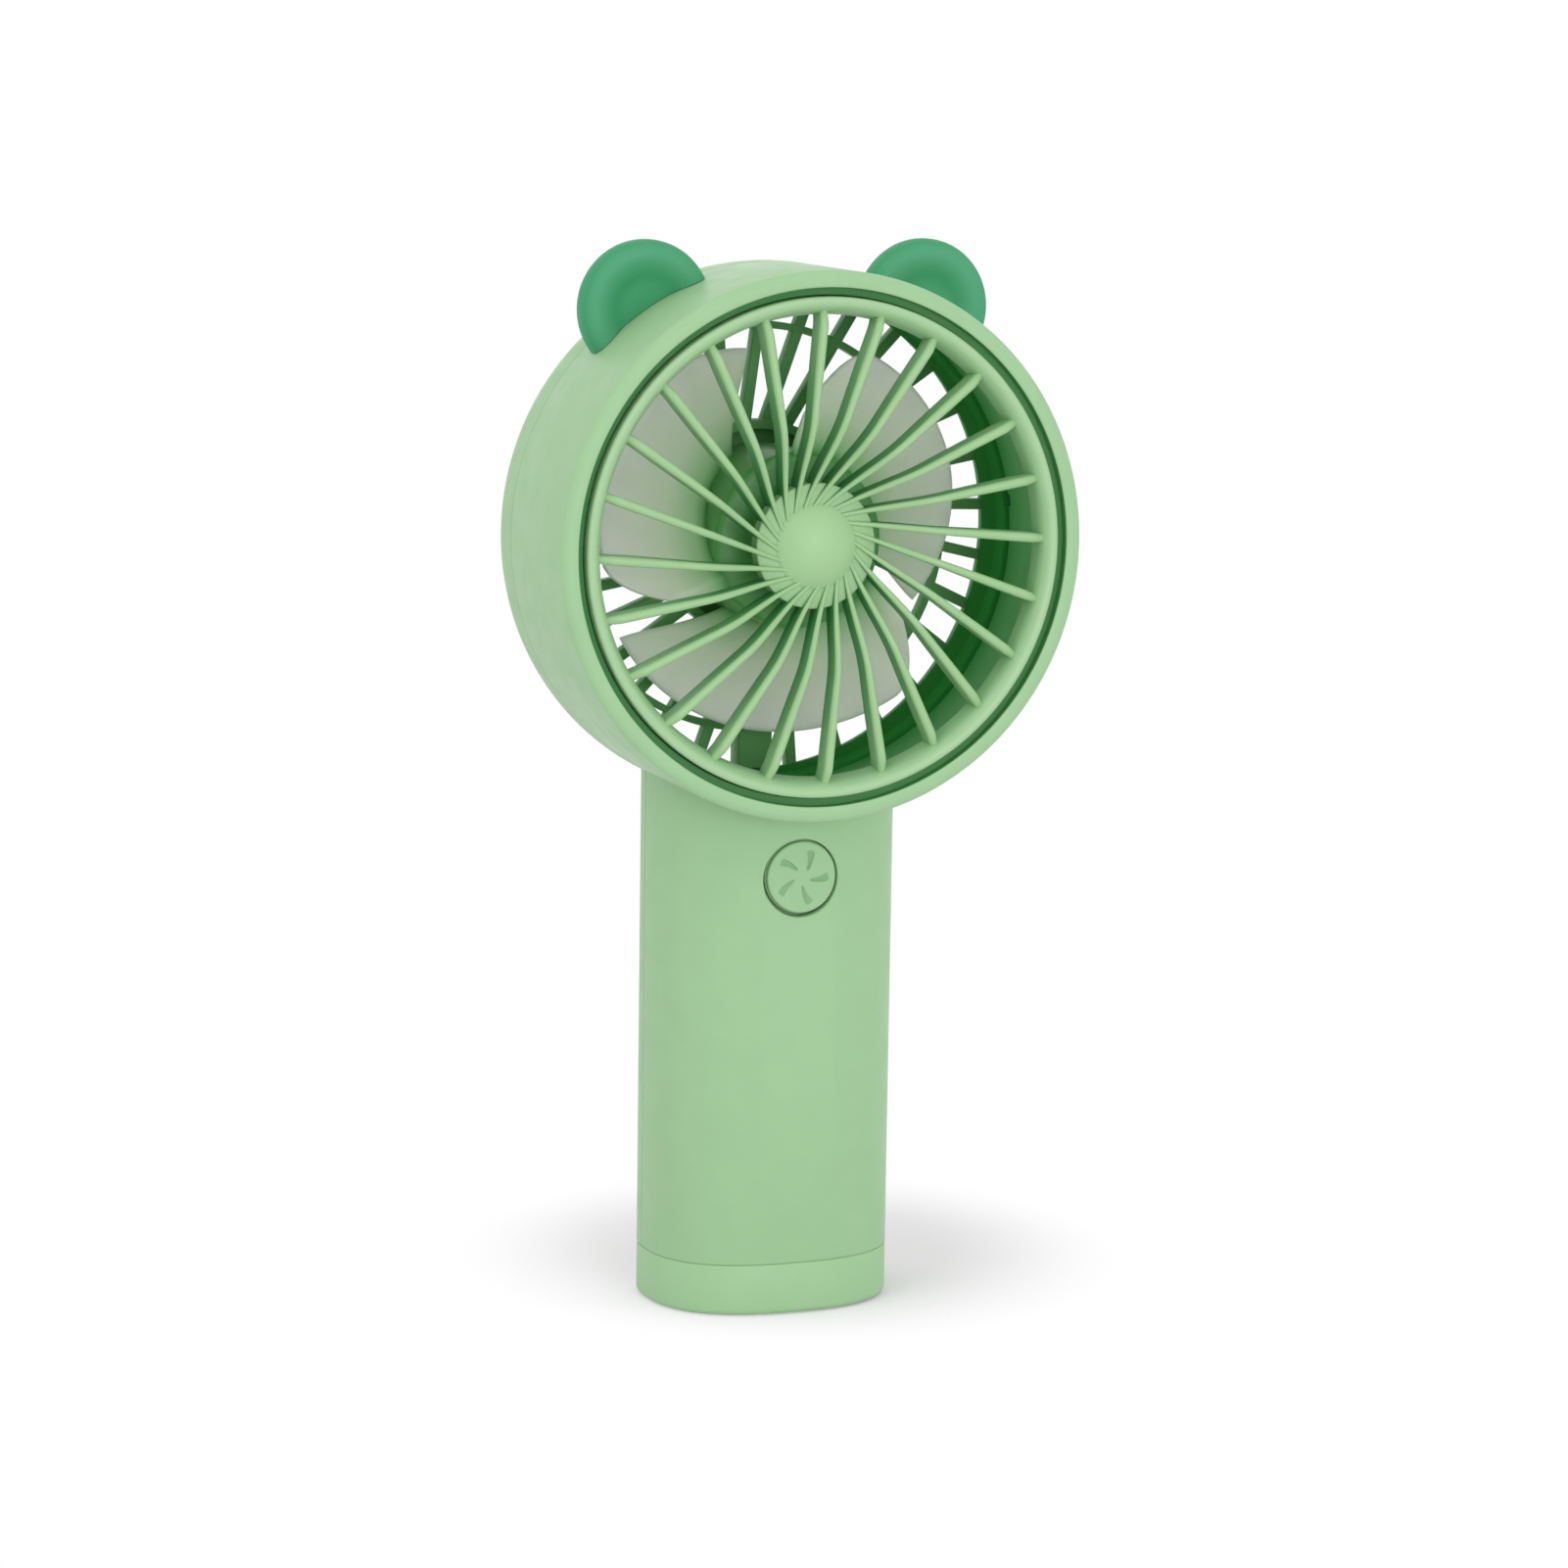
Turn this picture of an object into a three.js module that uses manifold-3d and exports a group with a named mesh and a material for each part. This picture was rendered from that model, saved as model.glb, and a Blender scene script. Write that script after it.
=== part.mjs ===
// Handheld electric fan: a round ducted head on a handle with a cell, a push button and two round ears.
// Millimetres. +Z is up, the air leaves towards -Y, and the origin is the middle of the flat rest face.
import * as THREE from 'three';
import { mergeVertices } from 'three/addons/utils/BufferGeometryUtils.js';
import Module from 'manifold-3d';

const wasm = await Module();
wasm.setup();

// Head
const headRadius = 47.5;
const headWall = 2.6;
const rimOuterRound = 1.5;
const rimInnerRound = 0.7;
const backRoundDepth = 5.7;
const backRoundReach = 2.8;
const backLipDepth = 1.75;
const backLipReach = 0.5;

// Handle and base
const handleHalfWidth = 22.4;
const handleBackDepth = 10.0;
const frontRoundShare = 2.54;
const backRoundShare = 3.0;
const handleWall = 1.8;
const baseHeight = 9.3;
const baseFloor = 2.2;
const baseEdgeRound = 1.2;
const spigotHeight = 2.4;
const spigotWall = 1.6;
const seamGap = 0.16;
const fitGap = 0.3;
const cornerShare = 0.29;
const overrun = 2.0;

// Front grille
const grooveWidth = 1.85;
const grooveDepth = 3.4;
const ringWidth = 3.25;
const ringDepth = 4.6;
const ringLip = 1.35;
const ringConeDrop = 1.5;
const ringConeWidth = 1.3;
const spokeCount = 24;
const spokeTurnDegrees = -20.08;
const spokeOffset = 4.4;
const spokeInnerWidth = 1.2;
const spokeOuterWidth = 1.74;
const spokeDepth = 4.2;
const spokeBite = 1.1;
const bendShiftShare = 0.3;
const dishDepth = 5.0;
const dishInner = 7.0;
const dishOuter = 23.0;
const hubRadius = 11.3;
const hubFaceDepth = 5.8;
const hubThickness = 2.6;
const grilleGap = 5.3;
const domeRadius = 7.35;
const domeEdgeDepth = 4.8;
const domeCrown = 1.7;
const domeShares = [1, 0.85, 0.6, 0.3, 0];

// Air duct
const ductWall = 1.2;
const ductShelfWidth = 2.0;
const ductShelfThickness = 1.2;
const ductStepDepth = 22.6;
const ductStepWidth = 0.6;
const ductStepCut = 0.5;
const ductBandWidth = 4.8;
const windowSize = 2.2;
const windowShift = 0.2;
const windowTurnDegrees = 7;
const windowCount = 4;
const latchWidth = 5.2;
const latchLength = 4.6;
const latchInset = 0.7;

// Rear grille
const rearRingThickness = 1.35;
const rearRingReach = 1.0;
const rearRibCount = 30;
const rearRibTurnDegrees = 10.35;
const rearRibWidth = 1.3;
const rearRibDepth = 2.7;
const rearRibInset = 0.5;
const middleRingInset = 7.4;
const middleRingWidth = 1.3;
const cupGap = 2.1;
const cupWall = 1.7;
const cupFloor = 1.5;
const cupRise = 1.7;
const cupLane = 1.5;
const socketWall = 1.3;
const socketHeight = 6.1;
const armWidth = 6.4;
const armWall = 0.8;

// Impeller
const bladeTipGap = 8.4;
const skirtGap = 0.98;
const skirtEndGap = 0.8;
const impellerHubRound = 1.8;
const impellerHubWall = 1.2;
const impellerHubFace = 2.1;
const impellerBossRadius = 3.2;
const impellerBossLength = 4.6;
const bossNoseGap = 0.4;
const bladeCount = 3;
const bladeLeadDegrees = 83.0;
const bladeTrailDegrees = -25.6;
const leadSweepDegrees = 12.3;
const leadSweepShare = 2.1;
const trailSweepDegrees = 23.3;
const trailSweepShare = 1.76;
const bladeLeadInset = 0.9;
const bladeTrailInset = 0.3;
const leadCornerShare = 0.38;
const leadCornerSpanShare = 0.17;
const trailCornerShare = 0.07;
const trailCornerSpanShare = 0.4;
const bladeRootThickness = 1.6;
const bladeTipThickness = 1.1;
const bladeRootBite = 0.6;

// Motor
const motorRadius = 11.9;
const motorLength = 14.2;
const motorWall = 0.8;
const motorNoseRadius = 3.4;
const motorNoseLength = 0.8;
const endCapThickness = 1.2;
const bushRadius = 2.1;
const bushLength = 1.7;
const shaftRadius = 1.0;
const shaftRunningGap = 0.06;
const shaftSeatGap = 0.03;
const rotorAirGap = 0.9;
const rotorBackGap = 2.3;
const rotorSlotWidth = 1.6;
const rotorSlotDepth = 4.2;
const rotorSlotCount = 3;
const magnetThickness = 2.4;
const magnetSpanDegrees = 130;
const magnetGap = 0.2;

// Button and switch
const buttonHoleRadius = 6.8;
const buttonGap = 0.35;
const buttonFlangeReach = 1.0;
const buttonFlangeThickness = 1.0;
const buttonFlangeDrop = 0.9;
const buttonTravel = 0.5;
const plungerGap = 0.15;
const plungerRadius = 1.3;
const plungerLength = 1.3;
const switchSide = 6.0;
const switchHeight = 1.4;
const switchTopGap = 0.2;
const restGap = 0.1;

// Boards, socket and cell
const boardThickness = 1.0;
const boardHalfWidth = 8.4;
const boardLength = 38.4;
const boardHeadGap = 1.5;
const boardCellGap = 2.05;
const postRadius = 1.9;
const postEdge = 2.0;
const postRise = 8.0;
const postInset = 2.2;
const boardScrewRadius = 0.8;
const boardScrewHeadRadius = 1.7;
const boardScrewHead = 0.9;
const cellRadius = 9.0;
const cellLength = 65.0;
const cellFloorGap = 1.9;
const cellNubRadius = 3.0;
const cellNubHeight = 0.8;
const cellEdgeRound = 0.8;
const strapThickness = 0.3;
const strapHalfWidth = 3.0;
const cradleThickness = 1.4;
const cradleLowInset = 16.4;
const cradleHighInset = 20.6;
const chargeRise = 5.6;
const chargeHeadroom = 5.7;
const socketWidth = 9.0;
const socketTall = 3.2;
const socketDepth = 7.4;
const socketShell = 0.35;
const socketTongue = 0.7;
const socketTongueWidth = 6.4;
const socketInset = 0.35;
const chargeBoardThickness = 1.0;
const chargeBoardHalfWidth = 8.0;
const chargeBoardLength = 9.0;
const shelfThickness = 1.2;

// Screws
const screwCellGap = 0.9;
const screwRise = 10.3;
const screwHeadroom = 11.9;
const screwHeadRadius = 2.2;
const screwHeadHeight = 1.5;
const screwShankRadius = 1.2;
const screwLength = 9.0;
const screwSink = 2.6;
const screwHoleGap = 0.2;
const bossWall = 1.2;

// Leads
const leadRadius = 0.65;
const leadSpacing = 0.95;
const portHalfWidth = 2.6;
const leadRunGap = 0.2;
const leadEndShare = 0.6;

// Ears
const earRadius = 11.95;
const earThickness = 6.0;
const earBackInset = 13.5;
const earSink = 0.1;
const earTurnDegrees = 57.1;
const earRound = 2.6;
const earDish = 1.4;
const earDishShares = [0, 0.45, 0.75, 0.92];

// Facets
const headFacetCount = 44;
const hubFacetCount = 24;
const motorFacetCount = 18;
const smallFacetCount = 8;
const shaftFacetCount = 12;
const handleFacetCount = 32;
const leadFacetCount = 6;
const screwFacetCount = 8;
const magnetFacetCount = 7;
const impellerFacetCount = 32;
const bladeChordCount = 8;
const bladeSpanCount = 4;
const dishStepCount = 3;

// Depths in the head, counted back from its front plane. They add up from the front grille to the rear one.
const hubBackDepth = hubFaceDepth + hubThickness;
const impellerFaceDepth = hubBackDepth + grilleGap;
const impellerInsideDepth = impellerFaceDepth + impellerHubFace;
const motorFront = impellerInsideDepth + impellerBossLength + bossNoseGap + motorNoseLength;
const motorBack = motorFront + motorLength;
const cupFloorDepth = motorBack + cupLane;
const rearRibBack = cupFloorDepth + cupFloor;
const rearRibFront = rearRibBack - rearRibDepth;
const cupFrontDepth = rearRibFront - cupRise;
const headDepth = rearRibBack + rearRibInset;
const lipDepth = headDepth - backLipDepth;
const rearRingBack = lipDepth - fitGap;
const rearRingFront = rearRingBack - rearRingThickness;
const ductBack = rearRingFront - fitGap;
const windowDepth = ductStepDepth + windowShift;
const leadLane = cupFloorDepth - leadRadius - leadRunGap;
const portReach = leadRadius + fitGap;
const impellerHubBack = cupFrontDepth - skirtEndGap;
const bladeLeadDepth = impellerFaceDepth + bladeLeadInset;
const bladeTrailDepth = impellerHubBack - bladeTrailInset;
const shaftFront = impellerInsideDepth - shaftRadius / 2;
const shaftBack = cupFloorDepth - fitGap * 2;
const rotorFront = motorFront + motorWall + bushLength;
const rotorLength = motorBack - endCapThickness - rotorBackGap - rotorFront;
const magnetLength = rotorLength - magnetGap;
const earFaceDepth = headDepth - earBackInset - earThickness;

// Radii about the head axis: inwards from the drum, then outwards from the motor.
const boreRadius = headRadius - headWall;
const ductOuter = boreRadius - fitGap;
const ductInner = ductOuter - ductWall;
const ringOuter = boreRadius - grooveWidth;
const ringInner = ringOuter - ringWidth;
const lipRadius = boreRadius - backLipReach;
const impellerRadius = ductInner - bladeTipGap;
const middleRingRadius = ductInner - middleRingInset;
const earDistance = headRadius - earSink;
const motorBore = motorRadius - motorWall;
const rotorRadius = motorBore - magnetGap - magnetThickness - rotorAirGap;
const socketInner = motorRadius + shaftRunningGap * 2;
const impellerHubRadius = socketInner + socketWall + skirtGap + impellerHubWall;
const cupRadius = impellerHubRadius + cupGap + cupWall;
const bossRadius = screwHeadRadius + fitGap + bossWall;
const screwX = cellRadius + fitGap + bossRadius + screwCellGap;

// The handle's depth is the stack of what lies in it: wall, button, switch, board, room, cell, wall.
const buttonStack = buttonFlangeDrop + buttonFlangeThickness + plungerGap + buttonTravel + switchTopGap;
const boardStack = handleWall + buttonStack + switchHeight + restGap + boardThickness;
const handleDepth = boardStack + boardCellGap + cellRadius * 2 + fitGap + handleWall;
const handleFrontY = -handleDepth / 2;
const handleBackY = handleDepth / 2;
const handleFrontDepth = handleDepth - handleBackDepth;
const partingY = handleFrontY + handleFrontDepth;
const headFrontY = handleBackY - headDepth;
const flangeFrontY = handleFrontY + handleWall + buttonFlangeDrop;
const flangeBackY = flangeFrontY + buttonFlangeThickness;
const plungerFrontY = flangeBackY + plungerGap;
const switchFrontY = plungerFrontY + buttonTravel + switchTopGap;
const boardFrontY = switchFrontY + switchHeight + restGap;
const boardBackY = boardFrontY + boardThickness;
const cellY = handleBackY - handleWall - fitGap - cellRadius;
const socketBackY = handleBackY - socketInset;
const socketFrontY = socketBackY - socketDepth;

// Heights: up the handle along the cell to the charging socket, then the head, and back down the board.
const spigotTop = baseHeight + spigotHeight;
const cellBottom = spigotTop + cellFloorGap;
const cellTop = cellBottom + cellLength;
const cradleLow = cellBottom + cradleLowInset;
const cradleHigh = cellTop - cradleHighInset;
const chargeHeight = cellTop + chargeRise;
const chargeBoardTop = chargeHeight - socketTall / 2 - restGap;
const headBottom = chargeHeight + chargeHeadroom;
const axisHeight = headBottom + headRadius;
const screwLow = spigotTop + screwRise;
const screwHigh = headBottom - screwHeadroom;
const boardTop = headBottom - boardHeadGap;
const boardBottom = boardTop - boardLength;
const postLow = boardBottom + postRise;
const postHigh = boardTop - postInset;
const postX = boardHalfWidth - postEdge;
const flangeRadius = buttonHoleRadius + buttonFlangeReach;
const buttonHeight = postHigh - Math.sqrt((flangeRadius + postRadius + fitGap) ** 2 - postX ** 2);

// Every head piece is drawn about the head axis, with its depth counted back from the front plane.
const atDepth = (depth) => headFrontY + depth;

function finish(color, roughness, metalness) {
  return new THREE.MeshStandardMaterial({ color, roughness, metalness });
}
const plastic = (color, roughness = 0.5) => finish(color, roughness, 0);
const metal = (color, roughness = 0.35) => finish(color, roughness, 1);
const paleGreen = () => plastic(0xa3cba0);
const rimGreen = () => plastic(0xaad09c);
const darkGreen = () => plastic(0x2f7a3e);
const earGreen = () => plastic(0x3f9c68);
const bladeGreen = () => plastic(0xabbda3, 0.4);

// A closed geometry becomes a solid: shared corners are merged, empty triangles dropped, faces turned out.
function toSolid(geometry) {
  const bare = geometry.index ? geometry.clone() : geometry;
  bare.deleteAttribute('normal');
  bare.deleteAttribute('uv');
  const merged = mergeVertices(bare);
  const places = merged.attributes.position.array;
  const corners = [];
  let volume = 0;
  for (let i = 0; i < merged.index.count; i += 3) {
    const [a, b, c] = [0, 1, 2].map((k) => merged.index.getX(i + k));
    if (a === b || b === c || a === c) {
      continue;
    }
    corners.push([a, b, c]);
    const [p, q, r] = [a, b, c].map((k) => new THREE.Vector3().fromArray(places, 3 * k));
    volume += p.dot(q.cross(r));
  }
  const turned = volume < 0 ? corners.map(([a, b, c]) => [a, c, b]) : corners;
  const mesh = new wasm.Mesh({
    numProp: 3,
    vertProperties: new Float32Array(places),
    triVerts: new Uint32Array(turned.flat()),
  });
  return new wasm.Manifold(mesh);
}

function toMesh(name, solid, material) {
  const { vertProperties, triVerts } = solid.getMesh();
  const geometry = new THREE.BufferGeometry();
  geometry.setAttribute('position', new THREE.BufferAttribute(vertProperties, 3));
  geometry.setIndex(new THREE.BufferAttribute(triVerts, 1));
  geometry.computeVertexNormals();
  const mesh = new THREE.Mesh(geometry, material);
  mesh.name = name;
  return mesh;
}

const join = (solids) => solids.reduce((whole, piece) => whole.add(piece));

// A closed profile of [radius, y] pairs turned about the Y axis.
function turned(profile, facets = headFacetCount) {
  const points = profile.map(([radius, y]) => new THREE.Vector2(radius, y));
  if (profile[0][0] > 0 || profile[profile.length - 1][0] > 0) {
    points.push(points[0].clone());
  }
  return toSolid(new THREE.LatheGeometry(points, facets));
}

// The same for a head piece, from [radius, depth] pairs.
function headTurned(profile, facets) {
  return turned(profile.map(([radius, depth]) => [radius, atDepth(depth)]), facets);
}

// A rod along Y, and a rod along Z, each between two stations.
function rodY(radius, from, to, facets = smallFacetCount, x = 0, z = 0) {
  const geometry = new THREE.CylinderGeometry(radius, radius, to - from, facets);
  return toSolid(geometry.translate(x, (from + to) / 2, z));
}

function rodZ(radius, from, to, facets = smallFacetCount, x = 0, y = 0) {
  const geometry = new THREE.CylinderGeometry(radius, radius, to - from, facets);
  geometry.rotateX(Math.PI / 2);
  return toSolid(geometry.translate(x, y, (from + to) / 2));
}

function block([x0, x1], [y0, y1], [z0, z1]) {
  const geometry = new THREE.BoxGeometry(x1 - x0, y1 - y0, z1 - z0);
  return toSolid(geometry.translate((x0 + x1) / 2, (y0 + y1) / 2, (z0 + z1) / 2));
}

// The handle's section: two superellipse halves that meet at the parting plane, drawn in by inset.
function handleOutline(inset = 0) {
  const points = [];
  for (let i = 0; i < handleFacetCount; i += 1) {
    const angle = (2 * Math.PI * i) / handleFacetCount;
    const across = Math.cos(angle);
    const along = Math.sin(angle);
    const reach = (along < 0 ? handleFrontDepth : handleBackDepth) - inset;
    const power = 2 / (along < 0 ? frontRoundShare : backRoundShare);
    const x = (handleHalfWidth - inset) * Math.sign(across) * Math.abs(across) ** power;
    const y = partingY + reach * Math.sign(along) * Math.abs(along) ** power;
    points.push(new THREE.Vector2(x, y));
  }
  return points;
}

function handlePrism(inset, from, to) {
  const shape = new THREE.Shape(handleOutline(inset));
  const geometry = new THREE.ExtrudeGeometry(shape, { depth: to - from, bevelEnabled: false });
  return toSolid(geometry.translate(0, 0, from));
}

// Rings of points of equal count, joined in order and closed by a fan at each end.
function loft(rings) {
  const count = rings[0].length;
  const middles = [rings[0], rings[rings.length - 1]].map((ring) => {
    const middle = ring.reduce((total, point) => total.add(point), new THREE.Vector3());
    return middle.divideScalar(count);
  });
  const points = [...rings.flat(), ...middles];
  const first = points.length - 2;
  const last = points.length - 1;
  const top = (rings.length - 1) * count;
  const index = [];
  for (let i = 0; i < count; i += 1) {
    const next = (i + 1) % count;
    index.push(first, next, i);
    index.push(last, top + i, top + next);
    for (let k = 0; k + 1 < rings.length; k += 1) {
      const low = k * count;
      index.push(low + i, low + next, low + count + next);
      index.push(low + i, low + count + next, low + count + i);
    }
  }
  const geometry = new THREE.BufferGeometry().setFromPoints(points);
  geometry.setIndex(index);
  return toSolid(geometry);
}

const radians = THREE.MathUtils.degToRad;
const spinAbout = (solid, degrees) => solid.rotate([0, degrees, 0]);
const lift = (solid) => solid.translate([0, 0, axisHeight]);

// Head outside with its soft front rim and its rounded back.
function headOutside() {
  const profile = [[0, 0]];
  for (const turn of [0, 30, 60, 90]) {
    const reach = rimOuterRound * (1 - Math.sin(radians(turn)));
    profile.push([headRadius - reach, rimOuterRound * (1 - Math.cos(radians(turn)))]);
  }
  for (const turn of [0, 25, 50, 70, 90]) {
    const radius = headRadius - backRoundReach * (1 - Math.cos(radians(turn)));
    profile.push([radius, headDepth - backRoundDepth * (1 - Math.sin(radians(turn)))]);
  }
  profile.push([0, headDepth]);
  return lift(headTurned(profile));
}

function headBore() {
  const profile = [
    [0, -overrun],
    [boreRadius + rimInnerRound, -overrun],
    [boreRadius + rimInnerRound, 0],
    [boreRadius + rimInnerRound * cornerShare, rimInnerRound * cornerShare],
    [boreRadius, rimInnerRound],
    [boreRadius, lipDepth],
    [lipRadius, lipDepth],
    [lipRadius, headDepth + overrun],
    [0, headDepth + overrun],
  ];
  return lift(headTurned(profile));
}

const screwPlaces = [];
for (const z of [screwLow, screwHigh]) {
  for (const x of [-screwX, screwX]) {
    screwPlaces.push([x, z]);
  }
}
const postPlaces = [];
for (const z of [postLow, postHigh]) {
  for (const x of [-postX, postX]) {
    postPlaces.push([x, z]);
  }
}

// Where the rear face of the handle lies at a distance x from its middle.
function backFaceY(x) {
  const share = 1 - (Math.abs(x) / handleHalfWidth) ** backRoundShare;
  return partingY + handleBackDepth * share ** (1 / backRoundShare);
}
const screwFloorY = backFaceY(screwX) - screwSink - screwHeadHeight;
const screwTipY = screwFloorY - screwLength;

// Both housing halves come from one skin: head and handle outside, less the bore and the handle's hollow.
function housingSkin(handleOutside, headSolid, handleHollow) {
  return handleOutside.add(headSolid).subtract(handleHollow).subtract(headBore());
}

function buildHousings() {
  const handleOutside = handlePrism(0, baseHeight, axisHeight);
  const headSolid = headOutside();
  const handleHollow = handlePrism(handleWall, baseHeight - overrun, axisHeight).subtract(headSolid);
  const skin = housingSkin(handleOutside, headSolid, handleHollow);
  const inside = handlePrism(handleWall / 2, baseHeight + spigotHeight + fitGap, chargeHeight);
  const reach = headRadius + overrun;
  const low = -overrun;
  const high = axisHeight + reach;
  const frontSpace = block([-reach, reach], [atDepth(-overrun), partingY - seamGap / 2], [low, high]);
  const rearSpace = block([-reach, reach], [partingY + seamGap / 2, handleBackY + overrun], [low, high]);

  const bosses = join(screwPlaces.map(([x, z]) => {
    return rodY(bossRadius, handleFrontY, handleBackY, smallFacetCount, x, z);
  }));
  const heads = join(screwPlaces.map(([x, z]) => {
    return rodY(screwHeadRadius + fitGap, screwFloorY, handleBackY + overrun, smallFacetCount, x, z);
  }));
  const shanks = join(screwPlaces.map(([x, z]) => {
    return rodY(screwShankRadius + screwHoleGap, screwTipY - fitGap, handleBackY, smallFacetCount, x, z);
  }));
  const posts = join(postPlaces.map(([x, z]) => {
    return rodY(postRadius, handleFrontY, boardFrontY - fitGap, smallFacetCount, x, z);
  }));
  const pilots = join(postPlaces.slice(0, 2).map(([x, z]) => {
    const from = handleFrontY + handleWall + fitGap;
    return rodY(boardScrewRadius + screwHoleGap, from, boardBackY, smallFacetCount, x, z);
  }));
  const holeFrontY = handleFrontY - overrun;
  const buttonHole = rodY(buttonHoleRadius, holeFrontY, flangeFrontY, hubFacetCount, 0, buttonHeight);
  const shellInside = inside.intersect(handleOutside).subtract(headSolid);
  const port = block(
    [-portHalfWidth, portHalfWidth],
    [atDepth(leadLane - portReach), atDepth(leadLane + portReach)],
    [headBottom - overrun, axisHeight - lipRadius + overrun],
  );
  const front = skin
    .intersect(frontSpace)
    .add(bosses.intersect(frontSpace).intersect(shellInside))
    .add(posts.intersect(handleOutside))
    .subtract(buttonHole)
    .subtract(shanks)
    .subtract(pilots)
    .subtract(port);

  const cell = rodZ(cellRadius + fitGap, cellBottom - overrun, cellTop + overrun, hubFacetCount, 0, cellY);
  const cradles = join([cradleLow, cradleHigh].map((z) => {
    return handlePrism(handleWall / 2, z, z + cradleThickness);
  }));
  const shelfTop = chargeBoardTop - chargeBoardThickness - fitGap;
  const shelf = handlePrism(handleWall / 2, shelfTop - shelfThickness, shelfTop);
  const shelfFrontY = socketBackY - chargeBoardLength;
  const shelfSpace = block([-reach, reach], [shelfFrontY, handleBackY], [low, high]);
  const mouthRadius = socketTall / 2 + fitGap;
  const mouthReach = socketWidth / 2 - socketTall / 2;
  const mouthBackY = handleBackY + overrun;
  const mouth = join([-mouthReach, mouthReach].map((x) => {
    return rodY(mouthRadius, socketFrontY, mouthBackY, smallFacetCount, x, chargeHeight);
  })).add(block(
    [-mouthReach, mouthReach],
    [socketFrontY, mouthBackY],
    [chargeHeight - mouthRadius, chargeHeight + mouthRadius],
  ));
  const rear = skin
    .intersect(rearSpace)
    .add(bosses.intersect(rearSpace).intersect(shellInside))
    .add(cradles.intersect(rearSpace).subtract(cell))
    .add(shelf.intersect(shelfSpace).intersect(rearSpace))
    .subtract(heads)
    .subtract(shanks)
    .subtract(mouth)
    .subtract(port);
  return { front, rear };
}

function buildBaseCap() {
  const top = baseHeight - seamGap;
  const layers = [
    [baseEdgeRound, 0],
    [baseEdgeRound * cornerShare, baseEdgeRound * cornerShare],
    [0, baseEdgeRound],
    [0, top],
  ];
  const body = loft(layers.map(([inset, z]) => {
    return handleOutline(inset).map(({ x, y }) => new THREE.Vector3(x, y, z));
  }));
  const spigot = handlePrism(handleWall + fitGap, baseFloor, spigotTop);
  const hollow = handlePrism(handleWall + fitGap + spigotWall, baseFloor, spigotTop + overrun);
  return body.add(spigot).subtract(hollow);
}

// Depth of the spokes' front edge at a radius: flat outside, sinking smoothly towards the hub.
function dishAt(radius) {
  return dishDepth * (1 - THREE.MathUtils.smoothstep(radius, dishInner, dishOuter));
}

// One spoke: a straight bar in front view that runs past the axis at spokeOffset, with a round front edge.
function spoke() {
  const start = Math.sqrt(domeRadius ** 2 - spokeOffset ** 2) - spokeInnerWidth;
  const end = ringInner + spokeBite;
  const stations = [start];
  for (let i = 0; i <= dishStepCount; i += 1) {
    stations.push(dishInner + ((dishOuter - dishInner) * (i + bendShiftShare)) / dishStepCount);
  }
  stations.push(end);
  const rings = stations.map((s) => {
    const radius = Math.hypot(s, spokeOffset);
    const share = THREE.MathUtils.clamp((radius - hubRadius) / (ringInner - hubRadius), 0, 1);
    const half = THREE.MathUtils.lerp(spokeInnerWidth, spokeOuterWidth, share) / 2;
    const front = dishAt(radius) + (s === end ? ringConeDrop : 0);
    const back = Math.min(dishAt(radius) + spokeDepth, hubBackDepth);
    const section = [
      [-half, back],
      [-half, front + half],
      [0, front],
      [half, front + half],
      [half, back],
    ];
    return section.map(([side, depth]) => new THREE.Vector3(s, atDepth(depth), spokeOffset + side));
  });
  return loft(rings);
}

function buildFrontGrille() {
  const ring = headTurned([
    [ringOuter, ringLip / 2],
    [ringOuter - ringLip / 4, ringLip / 8],
    [ringOuter - ringLip / 2, 0],
    [ringOuter - ringLip, ringLip / 8],
    [ringInner + ringWidth - ringLip - ringConeWidth, ringConeDrop],
    [ringInner, ringDepth],
    [ringOuter, ringDepth],
  ]);
  const disc = headTurned([
    [0, hubFaceDepth],
    [hubRadius, hubFaceDepth],
    [hubRadius, hubBackDepth],
    [0, hubBackDepth],
  ], hubFacetCount);
  const domeProfile = [[0, hubFaceDepth + hubThickness / 2], [domeRadius, hubFaceDepth + hubThickness / 2]];
  for (const share of domeShares) {
    domeProfile.push([domeRadius * share, domeEdgeDepth - domeCrown * (1 - share ** 2)]);
  }
  const dome = headTurned(domeProfile, hubFacetCount);
  const spokes = [];
  for (let i = 0; i < spokeCount; i += 1) {
    spokes.push(spinAbout(spoke(), -spokeTurnDegrees - (360 * i) / spokeCount));
  }
  return join([ring, disc, dome, ...spokes]);
}

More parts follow.
